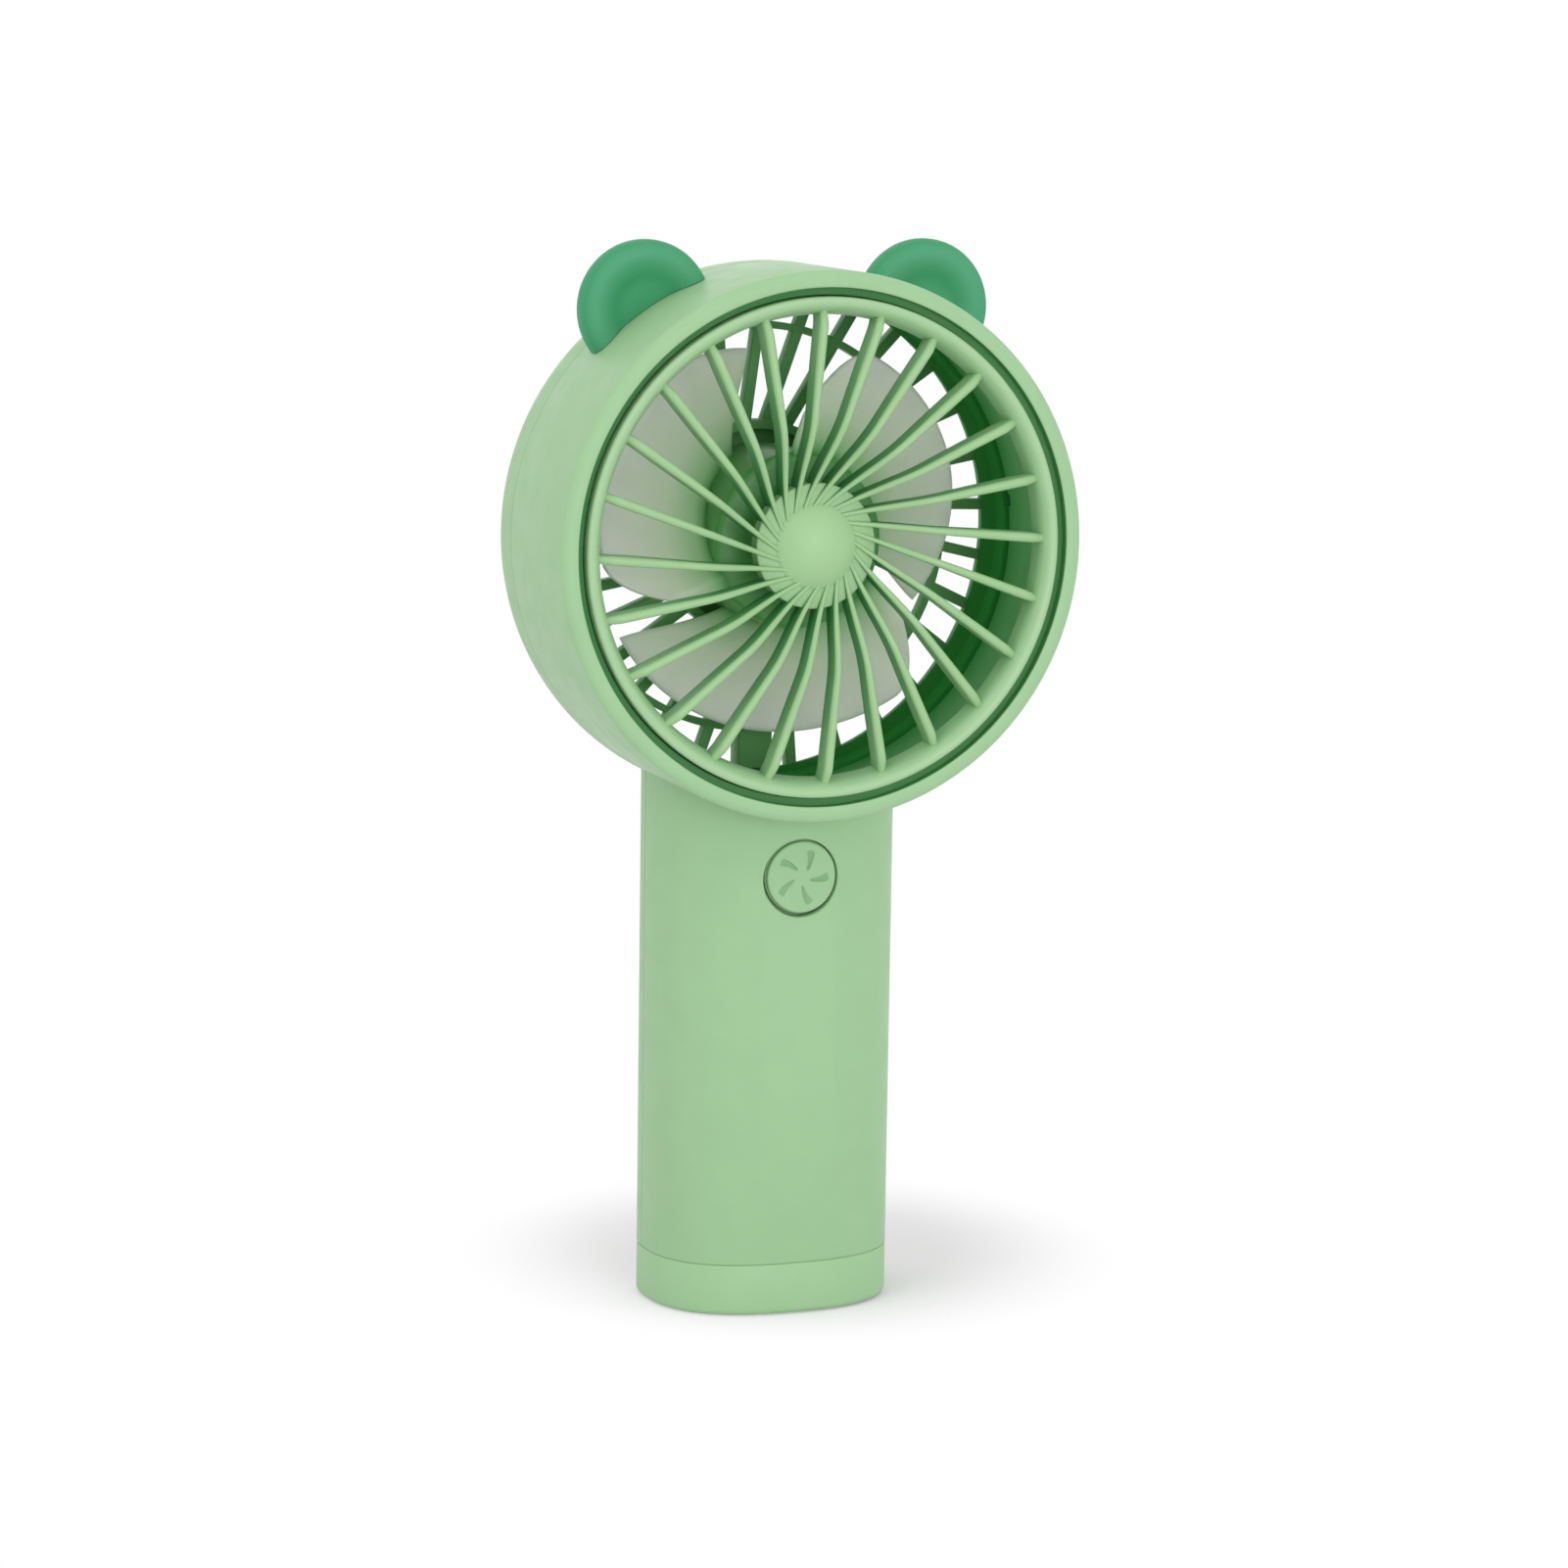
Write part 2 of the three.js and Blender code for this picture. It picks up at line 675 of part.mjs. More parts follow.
function buildAirDuct() {
  const shelfFront = ringDepth + fitGap;
  const stepBack = ductStepDepth + ductStepWidth;
  const bandBack = stepBack + ductBandWidth;
  const wall = headTurned([
    [ductOuter, grooveDepth],
    [ductInner, grooveDepth],
    [ductInner, shelfFront],
    [ductInner - ductShelfWidth, shelfFront],
    [ductInner - ductShelfWidth, shelfFront + ductShelfThickness],
    [ductInner, shelfFront + ductShelfThickness + ductShelfWidth],
    [ductInner, ductStepDepth],
    [ductInner + ductStepCut, ductStepDepth],
    [ductInner + ductStepCut, stepBack],
    [ductInner - ductStepCut, stepBack + ductStepCut],
    [ductInner - ductStepCut, bandBack - ductStepCut],
    [ductInner, bandBack],
    [ductInner, ductBack],
    [ductOuter, ductBack],
  ]);
  const half = windowSize / 2;
  const windows = [];
  for (let i = 0; i < windowCount; i += 1) {
    const cut = block(
      [ductInner - overrun, ductOuter + overrun],
      [atDepth(windowDepth - half), atDepth(windowDepth + half)],
      [-half, half],
    );
    windows.push(spinAbout(cut, -windowTurnDegrees - (360 * i) / windowCount));
  }
  const latch = block(
    [-latchWidth / 2, latchWidth / 2],
    [atDepth(ductBack - latchInset - latchLength), atDepth(ductBack - latchInset)],
    [-ductOuter - overrun, -ductInner + overrun],
  );
  return wall.subtract(join(windows)).subtract(latch);
}

function buildRearGrille() {
  const ringInside = ductOuter - rearRingReach;
  const ring = headTurned([
    [ductOuter, rearRingFront],
    [ringInside, rearRingFront],
    [ringInside, rearRingBack],
    [ductOuter, rearRingBack],
  ]);
  const middleRing = headTurned([
    [middleRingRadius - middleRingWidth / 2, rearRibFront],
    [middleRingRadius + middleRingWidth / 2, rearRibFront],
    [middleRingRadius + middleRingWidth / 2, rearRibBack],
    [middleRingRadius - middleRingWidth / 2, rearRibBack],
  ]);
  const cup = headTurned([
    [0, rearRibBack],
    [cupRadius, rearRibBack],
    [cupRadius, cupFrontDepth],
    [cupRadius - cupWall, cupFrontDepth],
    [cupRadius - cupWall, cupFloorDepth],
    [socketInner + socketWall, cupFloorDepth],
    [socketInner + socketWall, cupFloorDepth - socketHeight],
    [socketInner, cupFloorDepth - socketHeight],
    [socketInner, cupFloorDepth],
    [0, cupFloorDepth],
  ], hubFacetCount);
  const start = cupRadius - cupWall;
  const end = lipRadius - fitGap;
  const ribs = [];
  for (let i = 0; i < rearRibCount; i += 1) {
    const rib = block(
      [start, Math.sqrt(end ** 2 - spokeOffset ** 2)],
      [atDepth(rearRibFront), atDepth(rearRibBack)],
      [spokeOffset - rearRibWidth / 2, spokeOffset + rearRibWidth / 2],
    );
    ribs.push(spinAbout(rib, -rearRibTurnDegrees - (360 * i) / rearRibCount));
  }
  const armEnd = ductInner - fitGap;
  const arm = join([
    block([-armWidth / 2, armWidth / 2], [atDepth(cupFrontDepth), atDepth(rearRibBack)], [-armEnd, -start]),
    block([-armWidth / 2, armWidth / 2], [atDepth(rearRibFront), atDepth(rearRibBack)], [-end, -start]),
  ]);
  const channel = block(
    [-armWidth / 2 + armWall, armWidth / 2 - armWall],
    [atDepth(cupFrontDepth + armWall), atDepth(cupFloorDepth)],
    [-ductOuter - overrun, -motorBore],
  );
  return join([ring, middleRing, cup, ...ribs, arm]).subtract(channel);
}

// One blade as two curved faces, stitched at its edges. u runs from the leading to the trailing edge.
function blade() {
  const root = impellerHubRadius - bladeRootBite;
  const bladeSpanDegrees = bladeLeadDegrees - bladeTrailDegrees;
  const half = (v) => THREE.MathUtils.lerp(bladeRootThickness, bladeTipThickness, v) / 2;
  const place = (u, v, side) => {
    const lead = 1 - u / leadCornerSpanShare;
    const trail = (u - 1 + trailCornerSpanShare) / trailCornerSpanShare;
    const lost = leadCornerShare * Math.max(0, lead) ** 2 + trailCornerShare * Math.max(0, trail) ** 2;
    const tip = impellerRadius * (1 - lost);
    const radius = root + (tip - root) * v;
    const outward = (radius - impellerHubRadius) / (impellerRadius - impellerHubRadius);
    const inward = THREE.MathUtils.clamp(1 - outward, 0, 1);
    const leadAngle = bladeLeadDegrees + leadSweepDegrees * inward ** leadSweepShare;
    const trailAngle = bladeTrailDegrees + trailSweepDegrees * inward ** trailSweepShare;
    const degrees = leadAngle + (trailAngle - leadAngle) * u;
    const angle = radians(degrees);
    const turn = THREE.MathUtils.clamp((bladeLeadDegrees - degrees) / bladeSpanDegrees, 0, 1);
    const depth = THREE.MathUtils.lerp(bladeLeadDepth, bladeTrailDepth, turn) + side * half(v);
    return new THREE.Vector3(radius * Math.cos(angle), atDepth(depth), radius * Math.sin(angle));
  };
  const rings = [];
  for (let j = 0; j <= bladeSpanCount; j += 1) {
    const ring = [];
    for (let i = 0; i <= bladeChordCount; i += 1) {
      ring.push(place(i / bladeChordCount, j / bladeSpanCount, -1));
    }
    for (let i = bladeChordCount; i >= 0; i -= 1) {
      ring.push(place(i / bladeChordCount, j / bladeSpanCount, 1));
    }
    rings.push(ring);
  }
  return stripLoft(rings);
}

// Like loft, but each end is closed straight across from the ring's first half to its second.
function stripLoft(rings) {
  const count = rings[0].length;
  const top = (rings.length - 1) * count;
  const index = [];
  for (let k = 0; k + 1 < rings.length; k += 1) {
    for (let i = 0; i < count; i += 1) {
      const low = k * count;
      const next = (i + 1) % count;
      index.push(low + i, low + next, low + count + next);
      index.push(low + i, low + count + next, low + count + i);
    }
  }
  for (let i = 0; i + 1 < count / 2; i += 1) {
    const far = count - 1 - i;
    index.push(i, far, far - 1);
    index.push(i, far - 1, i + 1);
    index.push(top + i, top + i + 1, top + far - 1);
    index.push(top + i, top + far - 1, top + far);
  }
  const geometry = new THREE.BufferGeometry().setFromPoints(rings.flat());
  geometry.setIndex(index);
  return toSolid(geometry);
}

function buildImpeller() {
  const face = impellerFaceDepth;
  const inside = impellerInsideDepth;
  const hub = headTurned([
    [0, face],
    [impellerHubRadius - impellerHubRound, face],
    [impellerHubRadius - impellerHubRound * cornerShare, face + impellerHubRound * cornerShare],
    [impellerHubRadius, face + impellerHubRound],
    [impellerHubRadius, impellerHubBack],
    [impellerHubRadius - impellerHubWall, impellerHubBack],
    [impellerHubRadius - impellerHubWall, inside],
    [impellerBossRadius, inside],
    [impellerBossRadius, inside + impellerBossLength],
    [shaftRadius + shaftSeatGap, inside + impellerBossLength],
    [shaftRadius + shaftSeatGap, shaftFront - fitGap],
    [0, shaftFront - fitGap],
  ], impellerFacetCount);
  const blades = [];
  for (let i = 0; i < bladeCount; i += 1) {
    blades.push(spinAbout(blade(), (-360 * i) / bladeCount));
  }
  return join([hub, ...blades]);
}

function buildMotorCan() {
  const nose = motorFront - motorNoseLength;
  const hole = bushRadius + shaftSeatGap;
  return headTurned([
    [hole, nose],
    [motorNoseRadius, nose],
    [motorNoseRadius, motorFront],
    [motorRadius, motorFront],
    [motorRadius, motorBack],
    [motorBore, motorBack],
    [motorBore, motorFront + motorWall],
    [hole, motorFront + motorWall],
  ], motorFacetCount);
}

function buildMotorEndCap() {
  const hole = bushRadius + shaftSeatGap;
  const edge = motorBore - shaftRunningGap;
  return headTurned([
    [hole, motorBack - endCapThickness],
    [edge, motorBack - endCapThickness],
    [edge, motorBack],
    [hole, motorBack],
  ], motorFacetCount);
}

function buildBush(front) {
  const bore = shaftRadius + shaftRunningGap;
  return headTurned([
    [bore, front],
    [bushRadius, front],
    [bushRadius, front + bushLength],
    [bore, front + bushLength],
  ], shaftFacetCount);
}

function buildRotor() {
  const bore = shaftRadius + shaftSeatGap;
  const core = headTurned([
    [bore, rotorFront],
    [rotorRadius, rotorFront],
    [rotorRadius, rotorFront + rotorLength],
    [bore, rotorFront + rotorLength],
  ], motorFacetCount);
  const slots = [];
  for (let i = 0; i < rotorSlotCount; i += 1) {
    const slot = block(
      [rotorRadius - rotorSlotDepth, rotorRadius + overrun],
      [atDepth(rotorFront - overrun), atDepth(rotorFront + rotorLength + overrun)],
      [-rotorSlotWidth / 2, rotorSlotWidth / 2],
    );
    slots.push(spinAbout(slot, (360 * i) / rotorSlotCount));
  }
  return core.subtract(join(slots));
}

function buildMagnet(middle) {
  const outer = motorBore - magnetGap;
  const half = radians(magnetSpanDegrees) / 2;
  const shape = new THREE.Shape();
  shape.absarc(0, 0, outer, middle - half, middle + half, false);
  shape.absarc(0, 0, outer - magnetThickness, middle + half, middle - half, true);
  const extrusion = { depth: magnetLength, bevelEnabled: false, curveSegments: magnetFacetCount };
  const geometry = new THREE.ExtrudeGeometry(shape, extrusion);
  geometry.rotateX(Math.PI / 2);
  return toSolid(geometry.translate(0, atDepth(rotorFront + magnetLength), 0));
}

function buildEar() {
  const back = earFaceDepth + earThickness;
  const ridge = earRadius - earRound;
  const profile = earDishShares.map((share) => {
    const rise = THREE.MathUtils.smoothstep(share, 0, 1);
    return [ridge * share, earFaceDepth + earDish * (1 - rise)];
  });
  for (const turn of [0, 30, 60, 90]) {
    const across = ridge + earRound * Math.sin(radians(turn));
    profile.push([across, earFaceDepth + earRound * (1 - Math.cos(radians(turn)))]);
  }
  for (const turn of [90, 60, 30, 0]) {
    const across = ridge + earRound * Math.sin(radians(turn));
    profile.push([across, back - earRound * (1 - Math.cos(radians(turn)))]);
  }
  profile.push([0, back]);
  const disc = headTurned(profile, hubFacetCount).translate([earDistance, 0, 0]);
  const seat = headRadius + fitGap;
  const headSpace = rodY(seat, atDepth(earFaceDepth - overrun), atDepth(back + overrun), headFacetCount);
  return disc.subtract(headSpace);
}

function buildButton() {
  const capRadius = buttonHoleRadius - buttonGap;
  const cap = rodY(capRadius, handleFrontY - overrun, flangeBackY, hubFacetCount, 0, buttonHeight);
  const flange = rodY(flangeRadius, flangeFrontY, flangeBackY, hubFacetCount, 0, buttonHeight);
  const low = buttonHeight - flangeRadius - overrun;
  const high = buttonHeight + flangeRadius + overrun;
  return cap.intersect(handlePrism(0, low, high)).add(flange);
}

function buildSwitch() {
  const half = switchSide / 2;
  const backY = boardFrontY - restGap;
  const body = block([-half, half], [switchFrontY, backY], [buttonHeight - half, buttonHeight + half]);
  const bore = rodY(
    plungerRadius + shaftRunningGap * 2,
    switchFrontY - overrun,
    backY + overrun,
    shaftFacetCount,
    0,
    buttonHeight,
  );
  const plunger = rodY(
    plungerRadius,
    plungerFrontY,
    plungerFrontY + plungerLength,
    shaftFacetCount,
    0,
    buttonHeight,
  );
  return { body: body.subtract(bore), plunger };
}

function buildCircuitBoard() {
  const board = block([-boardHalfWidth, boardHalfWidth], [boardFrontY, boardBackY], [boardBottom, boardTop]);
  const holes = join(postPlaces.slice(0, 2).map(([x, z]) => {
    const radius = boardScrewRadius + screwHoleGap;
    return rodY(radius, boardFrontY - overrun, boardBackY + overrun, smallFacetCount, x, z);
  }));
  return board.subtract(holes);
}

// A screw that points to -Y, with its head's seat at seatY.
function buildScrew(seatY, shankRadius, length, headRadius, headHeight) {
  return turned([
    [0, seatY - length],
    [shankRadius, seatY - length],
    [shankRadius, seatY],
    [headRadius, seatY],
    [headRadius, seatY + headHeight],
    [0, seatY + headHeight],
  ], screwFacetCount);
}

function buildCell() {
  const inset = cellRadius - cellEdgeRound;
  const shoulder = cellTop - cellNubHeight;
  const profile = [
    [0, cellBottom],
    [inset, cellBottom],
    [cellRadius, cellBottom + cellEdgeRound],
    [cellRadius, shoulder - cellEdgeRound],
    [inset, shoulder],
    [cellNubRadius, shoulder],
    [cellNubRadius, cellTop],
    [0, cellTop],
  ];
  return turned(profile, motorFacetCount).rotate([90, 0, 0]).translate([0, cellY, 0]);
}

// A flat metal strap across an end of the cell, with a tail that turns towards the board.
function buildStrap(z, inward) {
  const tailY = cellY - cellRadius - strapThickness * 2;
  const [low, high] = inward > 0 ? [z, z + strapThickness] : [z - strapThickness, z];
  const pad = block([-strapHalfWidth, strapHalfWidth], [tailY, cellY + strapHalfWidth], [low, high]);
  const tailLength = strapHalfWidth * 1.5;
  const tailSpan = inward > 0 ? [low, high + tailLength] : [low - tailLength, high];
  const tail = block([-strapHalfWidth, strapHalfWidth], [tailY, tailY + strapThickness], tailSpan);
  return pad.add(tail);
}

function buildChargeSocket() {
  const outerRadius = socketTall / 2;
  const stadium = (radius, from, to) => {
    const reach = socketWidth / 2 - outerRadius;
    const ends = [-reach, reach].map((x) => rodY(radius, from, to, smallFacetCount, x, chargeHeight));
    const middle = block([-reach, reach], [from, to], [chargeHeight - radius, chargeHeight + radius]);
    return join(ends).add(middle);
  };
  const shell = stadium(outerRadius, socketFrontY, socketBackY);
  const hollow = stadium(outerRadius - socketShell, socketFrontY + socketShell * 3, socketBackY + overrun);
  const half = socketTongueWidth / 2;
  const tongue = block(
    [-half, half],
    [socketFrontY + socketShell, socketBackY - socketShell * 3],
    [chargeHeight - socketTongue / 2, chargeHeight + socketTongue / 2],
  );
  return shell.subtract(hollow).add(tongue);
}

function buildChargeBoard() {
  const backY = handleBackY - handleWall - fitGap;
  return block(
    [-chargeBoardHalfWidth, chargeBoardHalfWidth],
    [socketBackY - chargeBoardLength, backY],
    [chargeBoardTop - chargeBoardThickness, chargeBoardTop],
  );
}

// A lead is a round section carried along a smooth line through hand-placed points.
function buildLead(points) {
  const places = points.map((place) => new THREE.Vector3(...place));
  const path = new THREE.CatmullRomCurve3(places, false, 'centripetal');
  const section = new THREE.Shape();
  for (let i = 0; i < leadFacetCount; i += 1) {
    const angle = (2 * Math.PI * i) / leadFacetCount;
    const [x, y] = [leadRadius * Math.cos(angle), leadRadius * Math.sin(angle)];
    if (i === 0) {
      section.moveTo(x, y);
    } else {
      section.lineTo(x, y);
    }
  }
  const steps = Math.round(path.getLength() / (leadRadius * 6));
  return toSolid(new THREE.ExtrudeGeometry(section, { steps, extrudePath: path, bevelEnabled: false }));
}

// From the board's back, under the drum, up through the port and the rear grille's arm to the motor.
function motorLeadPoints(side) {
  const x = side * leadSpacing;
  const lane = atDepth(leadLane);
  const boardSide = boardBackY + leadRunGap;
  const under = headBottom - leadRadius * 3;
  return [
    [side * leadSpacing * 3, boardSide, headBottom - leadRadius * 6],
    [side * leadSpacing * 2, partingY / 2, under],
    [x, lane - leadRadius * 4, under],
    [x, lane - leadRadius / 4, headBottom - leadRadius],
    [x, lane, headBottom + headWall],
    [x, lane, axisHeight - (cupRadius + ductInner) / 2],
    [x, lane, axisHeight - motorRadius],
    [x, lane, axisHeight - motorRadius * leadEndShare],
  ];
}

const part = new THREE.Group();
const head = new THREE.Group();
head.position.set(0, 0, axisHeight);
part.add(head);

const housings = buildHousings();
part.add(toMesh('front_housing', housings.front, paleGreen()));
part.add(toMesh('rear_housing', housings.rear, paleGreen()));
part.add(toMesh('base_cap', buildBaseCap(), paleGreen()));
head.add(toMesh('front_grille', buildFrontGrille(), rimGreen()));
head.add(toMesh('air_duct', buildAirDuct(), darkGreen()));
head.add(toMesh('rear_grille', buildRearGrille(), darkGreen()));
head.add(toMesh('impeller', buildImpeller(), bladeGreen()));

head.add(toMesh('motor_can', buildMotorCan(), metal(0xb8bcc0)));
head.add(toMesh('motor_end_cap', buildMotorEndCap(), plastic(0xe6e6e0)));
head.add(toMesh('motor_bush_front', buildBush(motorFront - motorNoseLength), metal(0xb08d57)));
head.add(toMesh('motor_bush_rear', buildBush(motorBack - bushLength + fitGap), metal(0xb08d57)));
head.add(toMesh('motor_rotor', buildRotor(), metal(0x6d7074, 0.5)));
head.add(toMesh('motor_magnet_right', buildMagnet(0), plastic(0x3a3a3d)));
head.add(toMesh('motor_magnet_left', buildMagnet(Math.PI), plastic(0x3a3a3d)));
const shaft = rodY(shaftRadius, atDepth(shaftFront), atDepth(shaftBack), shaftFacetCount);
head.add(toMesh('motor_shaft', shaft, metal(0xc8ccd0, 0.25)));

const ear = buildEar();
head.add(toMesh('ear_right', spinAbout(ear, -earTurnDegrees), earGreen()));
head.add(toMesh('ear_left', spinAbout(ear, earTurnDegrees - 180), earGreen()));

part.add(toMesh('button_cap', buildButton(), paleGreen()));
const pushSwitch = buildSwitch();
part.add(toMesh('switch_body', pushSwitch.body, plastic(0x2b2b2d)));
part.add(toMesh('switch_plunger', pushSwitch.plunger, plastic(0x3c3c3e)));
part.add(toMesh('circuit_board', buildCircuitBoard(), plastic(0x1f6b3a)));
part.add(toMesh('charge_board', buildChargeBoard(), plastic(0x1f6b3a)));
part.add(toMesh('charge_socket', buildChargeSocket(), metal(0xc0c4c8, 0.3)));

part.add(toMesh('battery_cell', buildCell(), plastic(0x3d6fb0)));
part.add(toMesh('battery_strap_top', buildStrap(cellTop + restGap, 1), metal(0xc8c4b8)));
part.add(toMesh('battery_strap_bottom', buildStrap(cellBottom - restGap, -1), metal(0xc8c4b8)));

screwPlaces.forEach(([x, z], i) => {
  const seatY = screwFloorY + restGap;
  const screw = buildScrew(seatY, screwShankRadius, screwLength, screwHeadRadius, screwHeadHeight);
  part.add(toMesh(`housing_screw_${i + 1}`, screw.translate([x, 0, z]), metal(0x9a9ea2)));
});
postPlaces.slice(0, 2).forEach(([x, z], i) => {
  const length = boardThickness + boardScrewHead * 3;
  const seatY = boardBackY + restGap;
  const screw = buildScrew(seatY, boardScrewRadius, length, boardScrewHeadRadius, boardScrewHead);
  part.add(toMesh(`board_screw_${i + 1}`, screw.translate([x, 0, z]), metal(0x9a9ea2)));
});

part.add(toMesh('motor_lead_red', buildLead(motorLeadPoints(1)), plastic(0xb03030)));
part.add(toMesh('motor_lead_black', buildLead(motorLeadPoints(-1)), plastic(0x202022)));

export default part;
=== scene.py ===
# %% [markdown]
# A small fan that is held in one hand: a round ducted head, two round ears and a handle that can stand
# on its flat end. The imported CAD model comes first, because it fixes every size and place. The cells
# after it only make the surfaces that a camera sees, in metres, in the same frame.

# %% Load the frame
import math

import bmesh
import bpy
from mathutils import Matrix, Vector


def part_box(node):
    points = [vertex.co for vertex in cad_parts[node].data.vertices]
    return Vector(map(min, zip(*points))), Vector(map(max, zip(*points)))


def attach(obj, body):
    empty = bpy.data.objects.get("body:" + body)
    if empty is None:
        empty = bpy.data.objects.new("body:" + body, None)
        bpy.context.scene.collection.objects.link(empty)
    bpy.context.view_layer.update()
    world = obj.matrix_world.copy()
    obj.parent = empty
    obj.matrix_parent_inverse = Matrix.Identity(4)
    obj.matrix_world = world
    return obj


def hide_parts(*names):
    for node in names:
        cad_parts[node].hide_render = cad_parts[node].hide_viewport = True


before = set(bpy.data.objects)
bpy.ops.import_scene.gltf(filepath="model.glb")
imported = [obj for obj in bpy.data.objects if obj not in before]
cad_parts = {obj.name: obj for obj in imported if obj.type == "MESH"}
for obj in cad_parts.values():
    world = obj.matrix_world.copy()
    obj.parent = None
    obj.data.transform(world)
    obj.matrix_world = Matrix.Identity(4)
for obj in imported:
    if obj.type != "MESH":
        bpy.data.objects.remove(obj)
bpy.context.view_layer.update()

# %% [markdown]
# The fan's main places are read from the boxes of its own nodes, so the fine pieces below follow the
# CAD model if it changes. Depths in the head are counted back from its front plane, as on a drawing,
# and profiles are written in millimetres, because that is how one would measure the real fan.

# %% Main places
MM = 0.001
X, Y, Z = range(3)
BODY, ROTOR, BUTTON = "fan_body", "rotor", "button"


def span(node, axis):
    """Lowest and highest value of a node along one axis."""
    low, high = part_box(node)
    return low[axis], high[axis]


def middle(node, axis):
    return sum(span(node, axis)) / 2


head_radius = span("front_housing", X)[1]
front_y = span("front_housing", Y)[0]
back_y = span("rear_housing", Y)[1]
parting_y = (span("front_housing", Y)[1] + span("rear_housing", Y)[0]) / 2
axis_z = middle("air_duct", Z)
duct_outer = span("air_duct", X)[1]


def depth_in_head(y):
    """How far a place lies behind the head's front plane, in mm."""
    return (y - front_y) / MM


head_mm, duct_mm = head_radius / MM, duct_outer / MM
parting_depth, depth_mm = depth_in_head(parting_y), depth_in_head(back_y)
print("head radius %.1f mm, axis height %.1f mm" % (head_mm, axis_z / MM))

# %% [markdown]
# Nearly every part of the head is round, so one helper turns a closed profile about the head's axis.
# Real mouldings have no knife edges, so a second helper rounds the corners of a profile first. A bevel
# modifier could do that later, but it treats all edges alike; writing the profile as corners with a
# round each is how a drawing gives it, and it keeps the lists short.

# %% Rounded profiles
def rounded(corners, steps=5):
    """Corners are (radius, depth, round) in mm, in order. Returns the profile in metres."""
    points = []
    for i, (across, depth, size) in enumerate(corners):
        here = Vector((across, depth))
        if not size:
            points.append(here * MM)
            continue
        before = (Vector(corners[i - 1][:2]) - here).normalized()
        after = (Vector(corners[(i + 1) % len(corners)][:2]) - here).normalized()
        half = before.angle(after) / 2
        centre = here + (before + after).normalized() * size / math.sin(half)
        start = (here + before * size / math.tan(half) - centre).normalized()
        end = (here + after * size / math.tan(half) - centre).normalized()
        for k in range(steps + 1):
            points.append((centre + start.slerp(end, k / steps) * size) * MM)
    return points


sample = rounded([(2, 0, 1), (2, 5, 0), (0, 5, 0), (0, 0, 0)])
print("a rounded corner takes", len(sample) - 3, "points")

# %% [markdown]
# A screw modifier could turn the profile, but then the two ends on the axis and the seam have to be
# cleaned up by hand. Here each profile point becomes one ring of vertices, a point on the axis becomes a
# single vertex, and the faces between the rings close the piece, which the boolean steps later need.

# %% Turned pieces
on_axis, weld_distance = 1e-7, 1e-6


def once_round(count):
    """Equal steps once round, in radians."""
    return [2 * math.pi * k / count for k in range(count)]


def turned(profile, count=256):
    """A bmesh of a closed (radius, depth) profile turned about the head's axis."""
    bm = bmesh.new()
    rings = []
    for radius, depth in profile:
        y = front_y + depth
        if radius < on_axis:
            rings.append([bm.verts.new((0, y, axis_z))] * count)
            continue
        places = [(radius * math.cos(turn), y, axis_z + radius * math.sin(turn)) for turn in once_round(count)]
        rings.append([bm.verts.new(place) for place in places])
    for a, b in zip(rings, rings[1:] + rings[:1]):
        for k in range(count):
            face = list(dict.fromkeys([a[k], a[(k + 1) % count], b[(k + 1) % count], b[k]]))
            if len(face) > 2:
                bm.faces.new(face)
    return bm


def soften(obj, sharp_degrees=32):
    obj.data.shade_smooth()
    obj.data.set_sharp_from_angle(angle=math.radians(sharp_degrees))


def make(name, bm):
    """Turns a bmesh into an object with smooth faces and crisp edges where it bends sharply."""
    bmesh.ops.remove_doubles(bm, verts=bm.verts, dist=weld_distance)
    bmesh.ops.recalc_face_normals(bm, faces=bm.faces)
    mesh = bpy.data.meshes.new(name)
    bm.to_mesh(mesh)
    bm.free()
    obj = bpy.data.objects.new(name, mesh)
    bpy.context.scene.collection.objects.link(obj)
    soften(obj)
    return obj


print("turned pieces weld points closer than %.0e m" % weld_distance)

# %% [markdown]
# All the shells are moulded plastic. Moulded plastic is never one flat colour: it has a very fine grain
# from the mould, a slight cloud in the tint, and a little light passes below its skin. A node group per
# finish could do this, but a function that builds the same few nodes with other numbers reads better.

# %% Colours and noise for any material
def linear(red, green, blue):
    """A screen colour, 0 to 255, as the linear colour that a shader wants."""
    def channel(value):
        value /= 255
        return value / 12.92 if value <= 0.04045 else ((value + 0.055) / 1.055) ** 2.4
    return (channel(red), channel(green), channel(blue), 1)


def shade(colour, factor):
    return (*[min(1, c * factor) for c in colour[:3]], 1)


def grey(value):
    return (value, value, value, 1)


def noise(nodes, links, scale, detail=2):
    place = nodes.new("ShaderNodeTexCoord")
    texture = nodes.new("ShaderNodeTexNoise")
    texture.inputs["Scale"].default_value = scale
    texture.inputs["Detail"].default_value = detail
    links.new(place.outputs["Object"], texture.inputs["Vector"])
    return texture.outputs["Fac"]


def ramp(nodes, links, source, low, high, start=0.35, end=0.65):
    """Colours or greys between low and high as source goes from start to end."""
    scale = nodes.new("ShaderNodeValToRGB")
    for element, place, colour in zip(scale.color_ramp.elements, (start, end), (low, high)):
        element.position = place
        element.color = colour
    links.new(source, scale.inputs["Fac"])
    return scale.outputs["Color"]


print("mid grey on screen is %.3f in a shader" % linear(128, 128, 128)[0])
